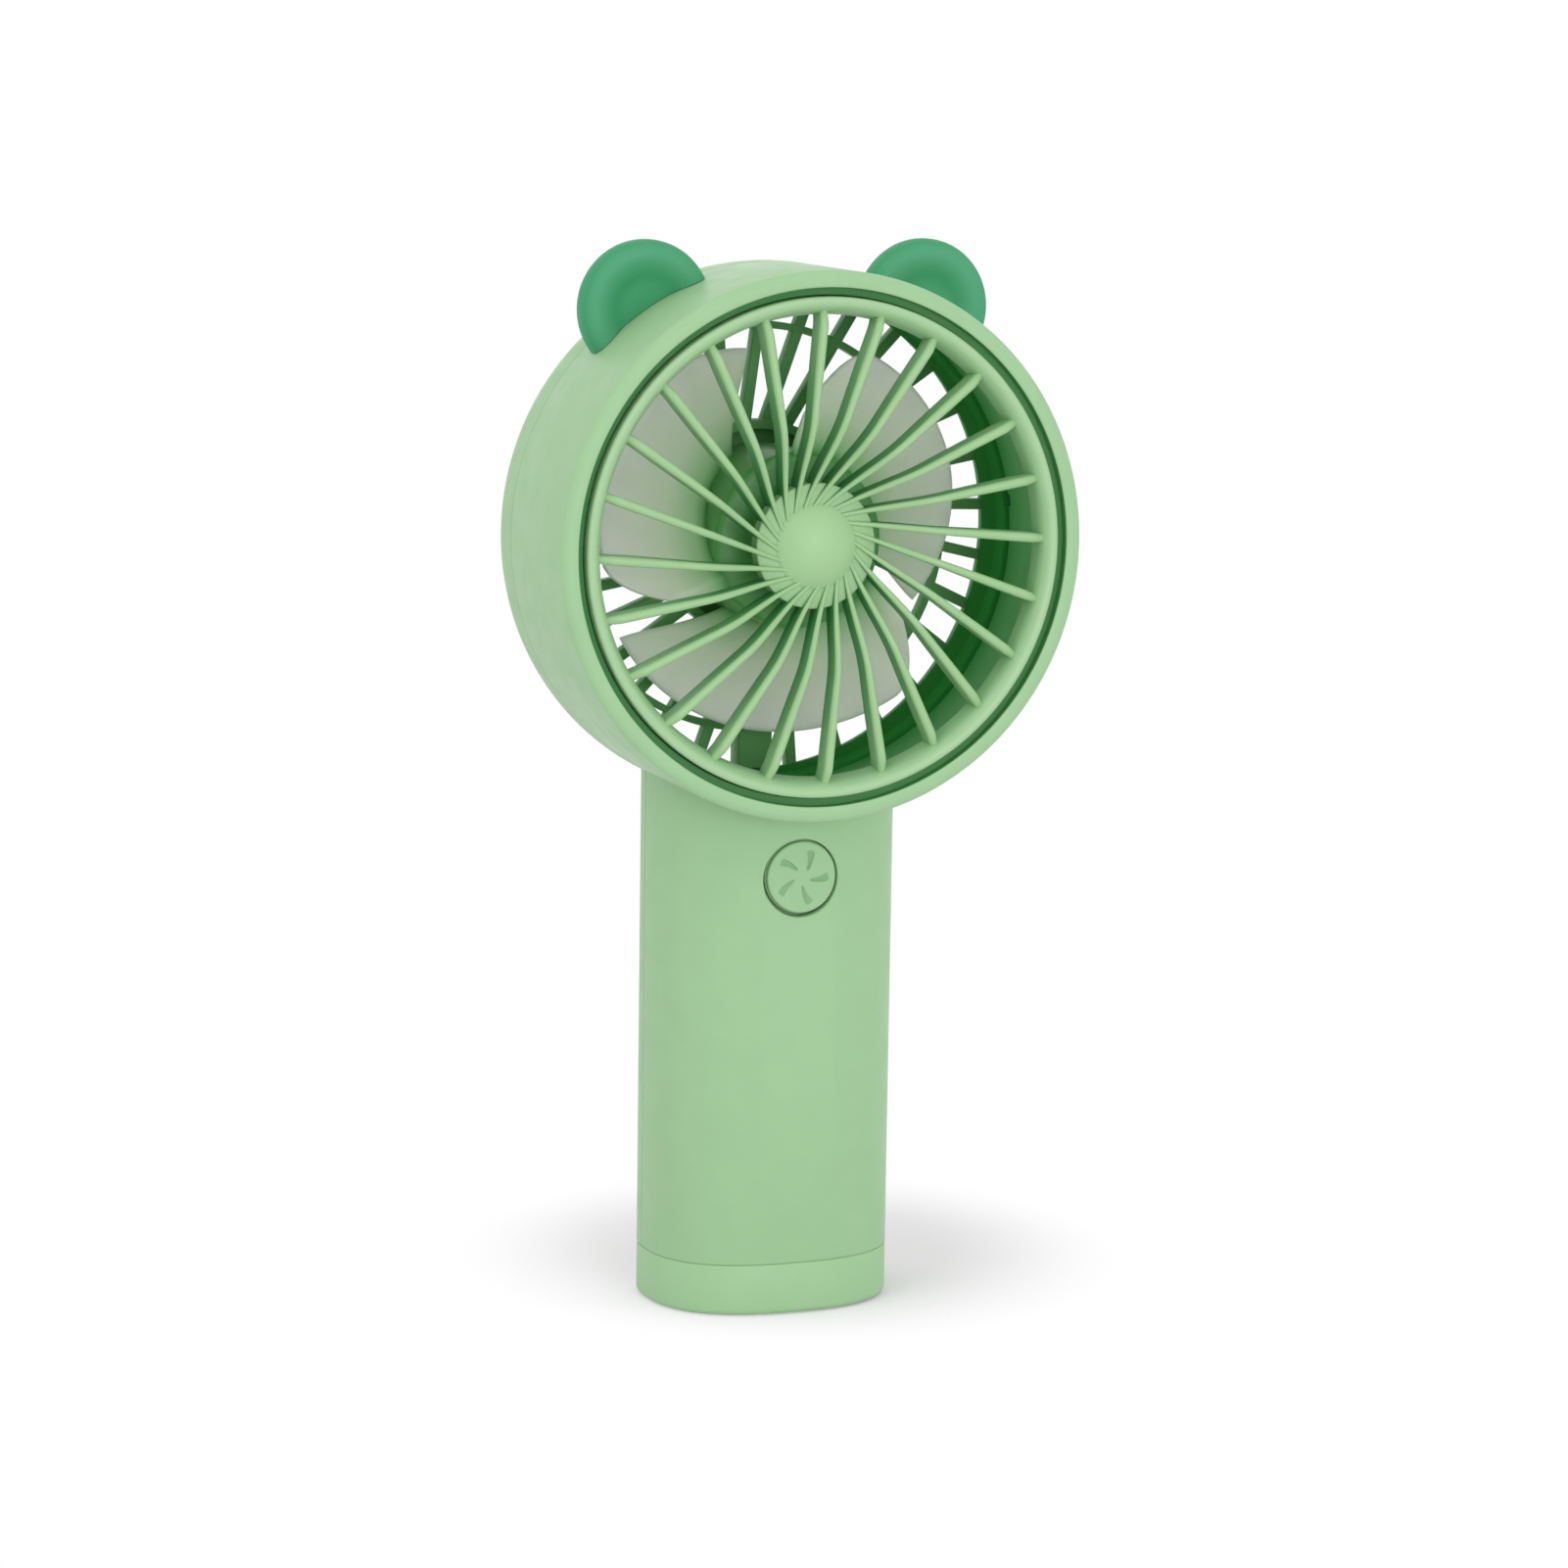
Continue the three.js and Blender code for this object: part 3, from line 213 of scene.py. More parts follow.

# %% [markdown]
# Some pieces also carry painted shade that changes from place to place: deep inside the duct the green is
# painted deeper, where little light reaches, and the blades are painted deeper near their hub, where the grille
# and the other blades shade them. That could be painted in an image, but a ramp over the depth in the head, or
# over the distance from the axis, needs no image and follows the shape.

# %% A tint with painted shade that changes over a piece
def place_tint(nodes, links, along, stops):
    """Stops are (mm, colour), along the depth in the head or along the distance from the axis."""
    place = nodes.new("ShaderNodeTexCoord")
    shift = nodes.new("ShaderNodeVectorMath")
    shift.operation = "SUBTRACT"
    shift.inputs[1].default_value = (0, front_y, axis_z)
    links.new(place.outputs["Object"], shift.inputs[0])
    pick = nodes.new("ShaderNodeVectorMath")
    pick.operation = "MULTIPLY"
    pick.inputs[1].default_value = (0, 1, 0) if along == "depth" else (1, 0, 1)
    links.new(shift.outputs["Vector"], pick.inputs[0])
    length = nodes.new("ShaderNodeVectorMath")
    length.operation = "LENGTH"
    links.new(pick.outputs["Vector"], length.inputs[0])
    scale = nodes.new("ShaderNodeMapRange")
    first, last = stops[0][0], stops[-1][0]
    scale.inputs["From Min"].default_value = first * MM
    scale.inputs["From Max"].default_value = last * MM
    links.new(length.outputs["Value"], scale.inputs["Value"])
    tint = nodes.new("ShaderNodeValToRGB")
    while len(tint.color_ramp.elements) < len(stops):
        tint.color_ramp.elements.new(0.5)
    for element, (at, colour) in zip(tint.color_ramp.elements, stops):
        element.position = (at - first) / (last - first)
        element.color = linear(*colour)
    links.new(scale.outputs["Result"], tint.inputs["Fac"])
    return tint.outputs["Color"]


print("tints are measured from depth %.1f mm, height %.1f mm" % (front_y / MM, axis_z / MM))

# %% [markdown]
# The finish itself puts these together: clouds or a place tint for the colour, an uneven polish for the
# roughness, a soft skin, and a bump fine enough to break up the highlights without showing as a pattern.

# %% Moulded plastic
cloud_scale, polish_scale, polish_spread = 140, 220, 0.05
skin_reach = (0.7, 1.0, 0.7)
grain_size, grain_height = 0.35 * MM, 0.02 * MM


def plastic(name, colour, rough=0.42, cloud=0.012, grain=0.05, skin=0.1, depth=2, gloss=0.5, places=None):
    """Moulded plastic: cloud is the tint's unevenness, grain the mould's texture, skin the soft depth."""
    material = bpy.data.materials.new(name)
    material.use_nodes = True
    nodes, links = material.node_tree.nodes, material.node_tree.links
    shader = nodes["Principled BSDF"]
    clouds = noise(nodes, links, cloud_scale)
    if places:
        mix = nodes.new("ShaderNodeMix")
        mix.data_type, mix.blend_type = "RGBA", "MULTIPLY"
        mix.inputs["Factor"].default_value = 1
        links.new(place_tint(nodes, links, *places), mix.inputs["A"])
        links.new(ramp(nodes, links, clouds, grey(1 - cloud), grey(1)), mix.inputs["B"])
        tint = mix.outputs["Result"]
    else:
        tint = ramp(nodes, links, clouds, shade(colour, 1 - cloud), shade(colour, 1 + cloud))
    links.new(tint, shader.inputs["Base Color"])
    shader.inputs["Specular IOR Level"].default_value = gloss
    polish = ramp(nodes, links, noise(nodes, links, polish_scale),
                  grey(rough - polish_spread), grey(rough + polish_spread))
    links.new(polish, shader.inputs["Roughness"])
    shader.inputs["Subsurface Weight"].default_value = skin
    shader.inputs["Subsurface Radius"].default_value = skin_reach
    shader.inputs["Subsurface Scale"].default_value = depth * MM
    bump = nodes.new("ShaderNodeBump")
    bump.inputs["Strength"].default_value = grain
    bump.inputs["Distance"].default_value = grain_height
    links.new(noise(nodes, links, 1 / grain_size, 3), bump.inputs["Height"])
    links.new(bump.outputs["Normal"], shader.inputs["Normal"])
    return material


def dress(obj, material, body=BODY, replaces=()):
    """Gives a finished piece its material and its body, and hides the nodes it stands for."""
    if len(obj.data.materials):
        obj.data.materials.clear()
    obj.data.materials.append(material)
    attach(obj, body)
    if replaces:
        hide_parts(*replaces)
    return obj


shell_green = plastic("shell_green", linear(156, 195, 149), gloss=0.25)
print("shell finish:", shell_green.name)

# %% [markdown]
# The head's shell is a drum that is split across, so each half is a turned ring. The front half has a
# soft rim and, inside it, a small ledge that makes the dark groove round the grille; the back half draws
# in to a lip. Both have a very small round at the parting plane, which is what makes the thin line round
# the drum on the real fan.

# %% Drum halves
duct_clearance = 0.3
bore_radius = duct_mm + duct_clearance
rim_bore = bore_radius - duct_clearance
rim_round, edge_round = 1.5, 0.12
ledge_front, ledge_back = 1.9, 3.3
ledge_radius = rim_bore - 1.35
lip_radius, lip_depth = bore_radius - 0.5, 1.75
back_round_depth, back_round_reach = 5.7, 2.8
seam = 0.06


def back_curve(steps=14):
    """The drum's rounded back edge, from its side to its back face."""
    points = []
    for k in range(steps + 1):
        turn = math.pi / 2 * k / steps
        radius = head_mm - back_round_reach * (1 - math.cos(turn))
        points.append((radius, depth_mm - back_round_depth * (1 - math.sin(turn)), 0))
    return points


front_drum = make("front_shell", turned(rounded([
    (head_mm, parting_depth - seam, edge_round), (head_mm, 0, rim_round), (rim_bore, 0, 0.4),
    (rim_bore, ledge_front, 0.2), (ledge_radius, ledge_front, 0.2), (ledge_radius, ledge_back, 0.1),
    (bore_radius, ledge_back, 0), (bore_radius, parting_depth - seam, 0),
])))
rear_drum = make("rear_shell", turned(rounded([
    (bore_radius, parting_depth + seam, 0), (head_mm, parting_depth + seam, edge_round), *back_curve(),
    (lip_radius, depth_mm, 0.1), (lip_radius, depth_mm - lip_depth, 0), (bore_radius, depth_mm - lip_depth, 0),
])))
print("drum faces:", len(front_drum.data.polygons), len(rear_drum.data.polygons))

# %% [markdown]
# The handle's section is flatter behind than in front. Drawing that outline point by point would be
# long; two halves of a superellipse give the D shape from four numbers. It is the outline of the shell
# and of the base cap, so it is one function.

# %% Handle section
handle_half_width = span("base_cap", X)[1]
front_power, back_power = 2 / 2.54, 2 / 3.0
front_reach = parting_y - span("base_cap", Y)[0]
back_reach = back_y - parting_y


def handle_point(turn, inset=0.0):
    """A point of the handle's outline at a turn in radians, from +X round by +Y."""
    across, along = math.cos(turn), math.sin(turn)
    power = front_power if along < 0 else back_power
    reach = (front_reach if along < 0 else back_reach) - inset
    x = (handle_half_width - inset) * math.copysign(abs(across) ** power, across)
    return x, parting_y + math.copysign(reach * abs(along) ** power, along)


def loft(rings):
    """A closed bmesh through rings of points of equal count."""
    bm = bmesh.new()
    made = [[bm.verts.new(point) for point in ring] for ring in rings]
    count = len(made[0])
    for a, b in zip(made, made[1:]):
        for k in range(count):
            bm.faces.new([a[k], a[(k + 1) % count], b[(k + 1) % count], b[k]])
    bm.faces.new(made[0])
    bm.faces.new(made[-1])
    return bm


print("handle %.1f by %.1f mm" % (2 * handle_half_width / MM, (front_reach + back_reach) / MM))

# %% [markdown]
# Each half of the handle is a thin wall that is open towards the other half. One loop of points runs along
# the outside and back along the inside, and a few such loops, one above the other, make the wall: three
# for the fine round at its lower edge and one at the top, which follows the drum.

# %% Handle halves
base_top = span("front_housing", Z)[0]
handle_wall, handle_edge, drum_sink = 1.8 * MM, 0.25 * MM, 0.3 * MM


def head_radius_at(y):
    """The drum's outside radius at a place along its depth."""
    past = depth_in_head(y) - (depth_mm - back_round_depth)
    if past <= 0:
        return head_radius
    share = min(1, past / back_round_depth)
    return (head_mm - back_round_reach * (1 - math.sqrt(1 - share * share))) * MM


def top_z(x, y):
    """How high a point of the handle's wall goes to end inside the drum's wall."""
    radius = head_radius_at(y) - drum_sink
    return axis_z - math.sqrt(radius * radius - x * x)


def handle_half(front, count=150):
    """One half of the handle as a U-shaped wall, with a fine round at its lower edge."""
    start = math.pi if front else 0
    turns = [start + math.pi * (k / count) for k in range(count + 1)]
    limit = parting_y + (-seam if front else seam) * MM

    def outline(inset):
        keep = min if front else max
        return [(x, keep(y, limit)) for x, y in [handle_point(turn, inset) for turn in turns]]

    steps = ((handle_edge, 0), (handle_edge * 0.3, handle_edge * 0.3), (0, handle_edge), (0, None))
    rings = []
    for inset, lift in steps:
        loop = outline(inset) + outline(handle_wall)[::-1]
        rings.append([(x, y, top_z(x, y) if lift is None else base_top + lift) for x, y in loop])
    return loft(rings)


front_half, back_half = make("front_handle", handle_half(True)), make("rear_handle", handle_half(False))
print("handle wall %.1f mm, from height %.1f mm up" % (handle_wall / MM, base_top / MM))

# %% [markdown]
# On the real fan the drum and the handle are one moulding, so they meet in a clean line. A boolean union
# makes the same line, if the handle's top end follows the drum's curve and stops inside its wall. The
# manifold solver is fast and exact on closed meshes, and the result is written back as a plain mesh.

# %% Join the halves to the drum
def combine(obj, tools, operation="UNION"):
    """Joins tools to obj, or cuts them away, and keeps one clean mesh."""
    for tool in tools:
        step = obj.modifiers.new("step", "BOOLEAN")
        step.operation = operation
        step.solver = "MANIFOLD"
        step.object = tool
        graph = bpy.context.evaluated_depsgraph_get()
        mesh = bpy.data.meshes.new_from_object(obj.evaluated_get(graph))
        obj.modifiers.clear()
        obj.data = mesh
        obj.data.name = obj.name
        bpy.data.objects.remove(tool)
    soften(obj)
    return obj


def cut(obj, tools):
    return combine(obj, tools, "DIFFERENCE")


combine(front_drum, [front_half])
combine(rear_drum, [back_half])
print("shell faces:", len(front_drum.data.polygons), len(rear_drum.data.polygons))

# %% [markdown]
# The front half has one hole, for the push button. It goes through a curved face, so its soft edge has
# to follow that curve: the cutter is lofted through rings that each lie at one depth below the face.

# %% Button hole
button_x, button_z = middle("button_cap", X), middle("button_cap", Z)
hole_steps = [(7.3, -2), (7.3, -0.01), (7.1, 0.05), (6.97, 0.16), (6.9, 0.34), (6.9, 5)]


def handle_front_at(x):
    """Where the handle's front face lies at a distance x from its middle."""
    share = 1 - (abs(x) / handle_half_width) ** (2 / front_power)
    return parting_y - front_reach * share ** (front_power / 2)


def button_rings(steps, shift=0.0, count=160):
    """Rings about the button's middle: each step is a radius and a depth below the handle's face, in mm."""
    rings = []
    for radius, sink in steps:
        ring = []
        for turn in once_round(count):
            x = (shift + radius * math.cos(turn)) * MM
            z = (shift + radius * math.sin(turn)) * MM
            ring.append((button_x + x, handle_front_at(x) + sink * MM, button_z + z))
        rings.append(ring)
    return rings


cut(front_drum, [make("hole", loft(button_rings(hole_steps)))])
print("button hole: %.1f mm across" % (2 * hole_steps[-1][0]))

# %% [markdown]
# The back half has the charging mouth, four screw wells and a port for the motor's leads. A well needs a
# boss round it, or the cut would look into the hollow handle, so a plug is joined on first and the well
# is cut into it. The tools are plain blocks and rods; only what they leave behind shows.

# %% Holes in the back shell
screws = ["housing_screw_%d" % n for n in (1, 2, 3, 4)]
screw_head, well_radius, boss_radius, boss_cover = 1.5 * MM, 2.5 * MM, 3.7 * MM, 2.4 * MM
mouth_gap, mouth_depth = 0.3 * MM, 4 * MM
lead_half, housing_port = 2.6 * MM, (35.5, 37.4)
port_reach, port_top = 2 * MM, 0.9 * duct_outer


def bar(low, high):
    """A plain block between two corners."""
    bm = bmesh.new()
    bmesh.ops.create_cube(bm, size=1)
    size = Vector(high) - Vector(low)
    centre = (Vector(high) + Vector(low)) / 2
    bmesh.ops.transform(bm, matrix=Matrix.Translation(centre) @ Matrix.Diagonal((*size, 1)), verts=bm.verts)
    return bm


def rod(radius, y0, y1, x, z, count=64):
    """A round bar along Y."""
    return loft([[(x + radius * math.cos(t), y, z + radius * math.sin(t)) for t in once_round(count)]
                 for y in (y0, y1)])


def stadium(node, grow, y0, y1, count=24):
    """A bar with two round ends round a node's middle, larger than it by grow."""
    half_tall = (span(node, Z)[1] - span(node, Z)[0]) / 2 + grow
    half_wide = (span(node, X)[1] - span(node, X)[0]) / 2 + grow
    rings = []
    for y in (y0, y1):
        ring = []
        for side, start in ((1, -math.pi / 2), (-1, math.pi / 2)):
            for k in range(count + 1):
                turn = start + math.pi * k / count
                x = side * (half_wide - half_tall) + half_tall * math.cos(turn)
                ring.append((x, y, middle(node, Z) + half_tall * math.sin(turn)))
        rings.append(ring)
    return loft(rings)


def port(front, back):
    """A cutter for an opening under the axis, between two depths in mm."""
    low = (-lead_half, front_y + front * MM, axis_z - head_radius - port_reach)
    return make("port", bar(low, (lead_half, front_y + back * MM, axis_z - port_top)))


bosses, wells = [], []
for node in screws:
    x, z = middle(node, X), middle(node, Z)
    seat = span(node, Y)[1] - screw_head
    bosses.append(make("boss", rod(boss_radius, parting_y + MM, back_y - boss_cover, x, z)))
    wells.append(make("well", rod(well_radius, seat, back_y + MM, x, z)))
combine(rear_drum, bosses)
mouth = make("mouth", stadium("charge_socket", mouth_gap, back_y - mouth_depth, back_y + MM))
cut(rear_drum, wells + [mouth])
cut(rear_drum, [port(*housing_port)])
print("holes behind:", len(wells), "wells, a mouth and a port")

# %% [markdown]
# Both halves take the shell's plastic. The groove round the grille is the same plastic, but it looks much deeper
# in colour, because light bounces in it many times. A second material on the faces of the bore paints that shade
# in, and the faces are found by their place, so nothing has to be marked by hand.

# %% Dress the shell
# painted shade: a deeper copy of the shell's green for the groove and the bore
groove_shade_green = plastic("groove_shade_green", linear(72, 136, 76), gloss=0.2)
groove_start, bore_margin = 0.3, 0.2
dress(front_drum, shell_green, replaces=["front_housing"])
front_drum.data.materials.append(groove_shade_green)
for face in front_drum.data.polygons:
    x, y, z = face.center
    inside = math.hypot(x, z - axis_z) < (bore_radius + bore_margin) * MM and y < parting_y
    face.material_index = int(inside and y > front_y + groove_start * MM)
dress(rear_drum, shell_green, replaces=["rear_housing"])
print("groove faces:", sum(face.material_index for face in front_drum.data.polygons))

# %% [markdown]
# The base cap closes the handle. Its outline is the handle's own, so the same outline is lofted, drawn
# in at the bottom edge for the round that it stands on and a little at the seam above it.

# %% Base cap
base_round, seam_round, seam_gap = 1.2 * MM, 0.3 * MM, 0.08 * MM
seam_inset, spigot_inset, seam_rest = 0.22 * MM, 2.1 * MM, 0.01 * MM


def outline_at(z, inset, count=300):
    """The handle's outline at one height, drawn in by inset."""
    return [(*handle_point(turn, inset), z) for turn in once_round(count)]


def base_rings(round_steps=6):
    turns = [math.pi / 2 * k / round_steps for k in range(round_steps + 1)]
    steps = [(base_round * (1 - math.sin(t)), base_round * (1 - math.cos(t))) for t in turns]
    top = base_top - seam_gap
    steps += [(0, top - seam_round), (seam_round * 0.3, top - seam_round * 0.3), (seam_round, top)]
    return [outline_at(z, inset) for inset, z in steps]


base = make("base_shell", loft(base_rings()))
spigot = [outline_at(z, spigot_inset, 200) for z in (base_top - MM, span("base_cap", Z)[1])]
seam_floor = [outline_at(z, seam_inset) for z in (base_top - MM, base_top - seam_rest)]
combine(base, [make("spigot", loft(spigot)), make("seam_floor", loft(seam_floor))])
dress(base, shell_green, replaces=["base_cap"])
print("base faces:", len(base.data.polygons))

# %% [markdown]
# The front grille is the piece that people look at. Its 24 bars are straight from the front but all pass
# the axis on the same side, which gives the swirl, and they dive towards the hub, which gives the dish.
# A curve with a bevel would give round wires; these bars are thin and deep, with a round front edge, so
# each is lofted along its length through sections whose width and depth follow the distance from the axis.

# %% A bar of the front grille
spoke_count, first_spoke, spoke_offset = 24, -20.08, 4.4
dish_depth, dish_inner, dish_outer = 5.0, 7.0, 23.0
landing_sink, landing_start, landing_length = 1.3, 38.0, 3.4
hub_width, width_changes = 0.36, ((0.2, 8, 9), (0.26, 14, 22), (-0.14, 38, 3.2))
ring_mm = span("front_grille", X)[1] / MM
ring_inner = ring_mm - 3.25
bar_depth, bar_back, back_edge = 4.2, 8.4, 0.25
bar_start, bar_end, bar_steps, front_steps = 5.2, ring_inner + 1.3, 54, 8


def smooth(value):
    value = max(0.0, min(1.0, value))
    return value * value * (3 - 2 * value)


def dish(radius):
    """How far a bar's front edge lies behind the front plane, in mm."""
    sink = dish_depth * (1 - smooth((radius - dish_inner) / (dish_outer - dish_inner)))
    return sink + landing_sink * smooth((radius - landing_start) / landing_length)


def half_width(radius):
    """A bar widens twice on its way out, and draws in a little where it lands on the ring."""
    half = hub_width
    for change, start, length in width_changes:
        half += change * smooth((radius - start) / length)
    return half


def spoke_ring(along):
    """The bar's section at a distance along it: round in front, flat flanks, small edges behind."""
    radius = math.hypot(along, spoke_offset)
    half, front = half_width(radius), dish(radius)
    back = min(front + bar_depth, bar_back)
    section = []
    for k in range(front_steps + 1):
        turn = math.pi * k / front_steps
        section.append((-half * math.cos(turn), front + half - half * math.sin(turn)))
    section += [(half, back - back_edge), (half - back_edge, back),
                (back_edge - half, back), (-half, back - back_edge)]
    return [(along * MM, front_y + depth * MM, axis_z + (spoke_offset + side) * MM) for side, depth in section]


print("bar %.2f mm wide at the hub, %.2f mm at 36 mm" % (2 * half_width(8), 2 * half_width(36)))

# %% [markdown]
# One bar is made and copied round the axis. An array modifier with a turned empty would do the same, but turning
# the mesh itself keeps the copies exact and needs no helper object. The flanks get a second material, with
# painted shade, by the order in which the loft makes its faces.

# %% All bars, turned round the axis
def spin(obj, degrees):
    """Turns a piece's own mesh about the head's axis, counter-clockwise seen from the front."""
    turn = Matrix.Rotation(math.radians(-degrees), 4, "Y")
    shift = Matrix.Translation((0, 0, axis_z))
    obj.data.transform(shift @ turn @ shift.inverted())
    return obj


def repeated(shape_of, count, first):
    """One bmesh with count copies of a shape, spread evenly round the axis."""
    together = bmesh.new()
    for n in range(count):
        one = spin(make("one", shape_of()), first + 360 * n / count)
        together.from_mesh(one.data)
        bpy.data.objects.remove(one)
    return together


def spoke():
    """One bar, with the second material, the painted shade, on its flanks and back."""
    sections = [spoke_ring(bar_start + (bar_end - bar_start) * k / bar_steps) for k in range(bar_steps + 1)]
    shape = loft(sections)
    around = len(sections[0])
    for i, face in enumerate(shape.faces):
        # the flank and back faces take the painted shade
        face.material_index = int(i < bar_steps * around and i % around >= front_steps)
    return shape


spokes = repeated(spoke, spoke_count, first_spoke)
print("bars:", spoke_count, "faces:", len(spokes.faces))

# %% [markdown]
# The ring has a soft lip in front and a cone inside it, where the bars land. The hub is a disc with a low
# dome; the bars run out of the dome's edge. A sphere would bulge too much for the dome, so a power curve
# is turned instead. Turned profiles give all three pieces.

# %% Front grille ring and hub
ring_lip, ring_back = 1.4, 4.6
hub_radius, hub_front = 10.9, 5.5
dome_radius, dome_foot, dome_edge, dome_top, dome_power, dome_steps = 7.7, 6.6, 5.7, 2.8, 2.2, 16

grille = make("grille_ring", turned(rounded([
    (ring_mm, 0.0, 0.55), (ring_mm - ring_lip, 0.0, 1.3), (ring_inner + 0.6, 1.5, 3.8),
    (ring_inner, ring_back, 0.2), (ring_mm, ring_back, 0.2),
])))
hub_disc = make("hub_disc", turned(rounded([
    (0, hub_front, 0), (hub_radius, hub_front, 0.3), (hub_radius, bar_back, 0.3), (0, bar_back, 0),
]), 96))
dome_points = [(0, dome_foot, 0), (dome_radius, dome_foot, 0)]
for k in range(dome_steps):
    share = 1 - k / dome_steps
    depth = dome_edge - (dome_edge - dome_top) * (1 - share ** dome_power)
    dome_points.append((dome_radius * share, depth, 0))
hub_dome = make("hub_dome", turned(rounded(dome_points + [(0, dome_top, 0)]), 96))
bars = make("grille_bars", spokes)
print("hub %.1f mm, dome %.1f mm across" % (2 * hub_radius, 2 * dome_radius))

# %% [markdown]
# The whole grille is one plastic. The bars' flanks carry painted shade, deepest near the hub, where they stand
# close together, and the ring carries painted shade at its inner edge, where it turns into the duct. Both follow
# the distance from the axis, so a ramp over that distance is enough.

# %% Dress the front grille
spoke_green = plastic("spoke_green", linear(152, 192, 139), rough=0.38)
hub_green = plastic("hub_green", linear(160, 200, 148), gloss=0.3)
# painted shade on the bars' flanks, deepest near the hub
flank_shade_stops = [(8, (60, 132, 72)), (18, (84, 152, 92)), (28, (108, 168, 108)), (38, (140, 186, 132))]
flank_shade_green = plastic("flank_shade_green", None, gloss=0.2, places=("radius", flank_shade_stops))
# the ring's green with painted shade at its inner edge, where it turns into the duct
ring_shade_stops = [(39.7, (132, 186, 128)), (40.3, (148, 194, 142)), (41.4, (158, 196, 148)), (43.1, (158, 196, 149))]
ring_shade_green = plastic("ring_shade_green", None, rough=0.38, places=("radius", ring_shade_stops))
for piece, material in ((bars, spoke_green), (hub_disc, hub_green), (hub_dome, hub_green), (grille, ring_shade_green)):
    dress(piece, material, replaces=["front_grille"])
bars.data.materials.append(flank_shade_green)
print("grille faces:", len(grille.data.polygons))

# %% [markdown]
# Behind the grille the air runs through a duct, a plain tube with a shelf for the grille, a step line,
# four small snap windows and a port for the motor leads. It is one turned profile with blocks cut out.
# Its tint is painted shade that follows the depth: it is darker than the shell, and darkest behind the step
# line.

# %% Air duct
duct_in = duct_mm - 1.2
duct_back = depth_in_head(span("air_duct", Y)[1])
shelf_front, shelf_back, shelf_end, shelf_radius = 4.9, 6.1, 8.1, duct_in - 2.0
step_front, step_back, step_radius = 22.6, 23.2, duct_in + 0.5
band_front, band_back, band_end, band_radius = 23.7, 27.5, 28.0, duct_in - 0.5
window_count, first_window, window_front, window_back, window_half = 4, 7, 21.7, 23.9, 1.1
window_in, window_out = 3 * MM, 2 * MM
duct_port = (30.3, 34.9)

duct = make("duct_fine", turned(rounded([
    (duct_mm, ledge_back + 0.1, 0.1), (duct_in, ledge_back + 0.1, 0.1), (duct_in, shelf_front, 0),
    (shelf_radius, shelf_front, 0.1), (shelf_radius, shelf_back, 0.3), (duct_in, shelf_end, 0.6),
    (duct_in, step_front, 0.1), (step_radius, step_front, 0.1), (step_radius, step_back, 0.1),
    (band_radius, band_front, 0.15), (band_radius, band_back, 0.2), (duct_in, band_end, 0.2),
    (duct_in, duct_back, 0.1), (duct_mm, duct_back, 0),
])))
window_low = (duct_outer - window_in, front_y + window_front * MM, axis_z - window_half * MM)
window_high = (duct_outer + window_out, front_y + window_back * MM, axis_z + window_half * MM)
windows = [spin(make("window", bar(window_low, window_high)), first_window + 360 * n / window_count)
           for n in range(window_count)]
cut(duct, windows + [port(*duct_port)])
# painted shade: the duct's green goes deeper with the depth, darkest just behind the step line
duct_shade_stops = [(3.4, (63, 126, 66)), (6.2, (146, 206, 148)), (16, (132, 202, 140)), (22.2, (94, 177, 106)),
              (23.2, (40, 132, 54)), (24, (66, 159, 78)), (27, (62, 154, 74)), (29, (58, 144, 66)),
              (36, (62, 144, 68))]
duct_green = plastic("duct_green", None, rough=0.5, skin=0.05, gloss=0, places=("depth", duct_shade_stops))
dress(duct, duct_green, replaces=["air_duct"])
print("duct faces:", len(duct.data.polygons))

# %% [markdown]
# The rear grille carries the motor in a cup. Its thin ribs swirl the same way as the front bars, with one
# ring across them, and a wider arm below hides the leads in a channel. The ring, the foot and the cup are
# turned, the ribs are one lofted bar repeated, and a union makes one moulding of them.

# %% Rear grille ring and cup
rib_back = depth_in_head(span("rear_grille", Y)[1])
rib_front, rib_end = rib_back - 2.7, lip_radius - 0.3
foot_front, foot_back, foot_in = 35.9, 37.25, duct_mm - 1.0
cross_inner, cross_outer = 35.35, 36.65
cup_radius, cup_wall, cup_front, cup_floor = 19.3, 1.7, rib_front - 1.7, rib_back - 1.5
socket_in, socket_out, socket_front = 12.02, 12.02 + 1.3, cup_floor - 6.1

rear_grille = make("rear_grille_fine", turned(rounded([
    (duct_mm, foot_front, 0.1), (foot_in, foot_front, 0.1), (foot_in, foot_back, 0.1), (duct_mm, foot_back, 0.1),
])))
cross_ring = make("cross_ring", turned(rounded([
    (cross_inner, rib_front, 0.3), (cross_outer, rib_front, 0.3),
    (cross_outer, rib_back, 0.3), (cross_inner, rib_back, 0.3),
])))
cup_in = cup_radius - cup_wall
cup = make("cup", turned(rounded([
    (0, rib_back, 0), (cup_radius, rib_back, 0.5), (cup_radius, cup_front, 0.3), (cup_in, cup_front, 0.3),
    (cup_in, cup_floor, 0.3), (socket_out, cup_floor, 0.2), (socket_out, socket_front, 0.2),
    (socket_in, socket_front, 0.2), (socket_in, cup_floor, 0), (0, cup_floor, 0),
]), 128))
print("motor cup %.1f mm across" % (2 * cup_radius))

# %% [markdown]
# The ribs are the same kind of piece as the front bars, so they are repeated by the same helper. They are
# straight and even, so two sections are enough for each. The arm is two lofts, a deep one up to the duct
# and a thin one on to the rim, and the channel for the leads is cut out of it last.

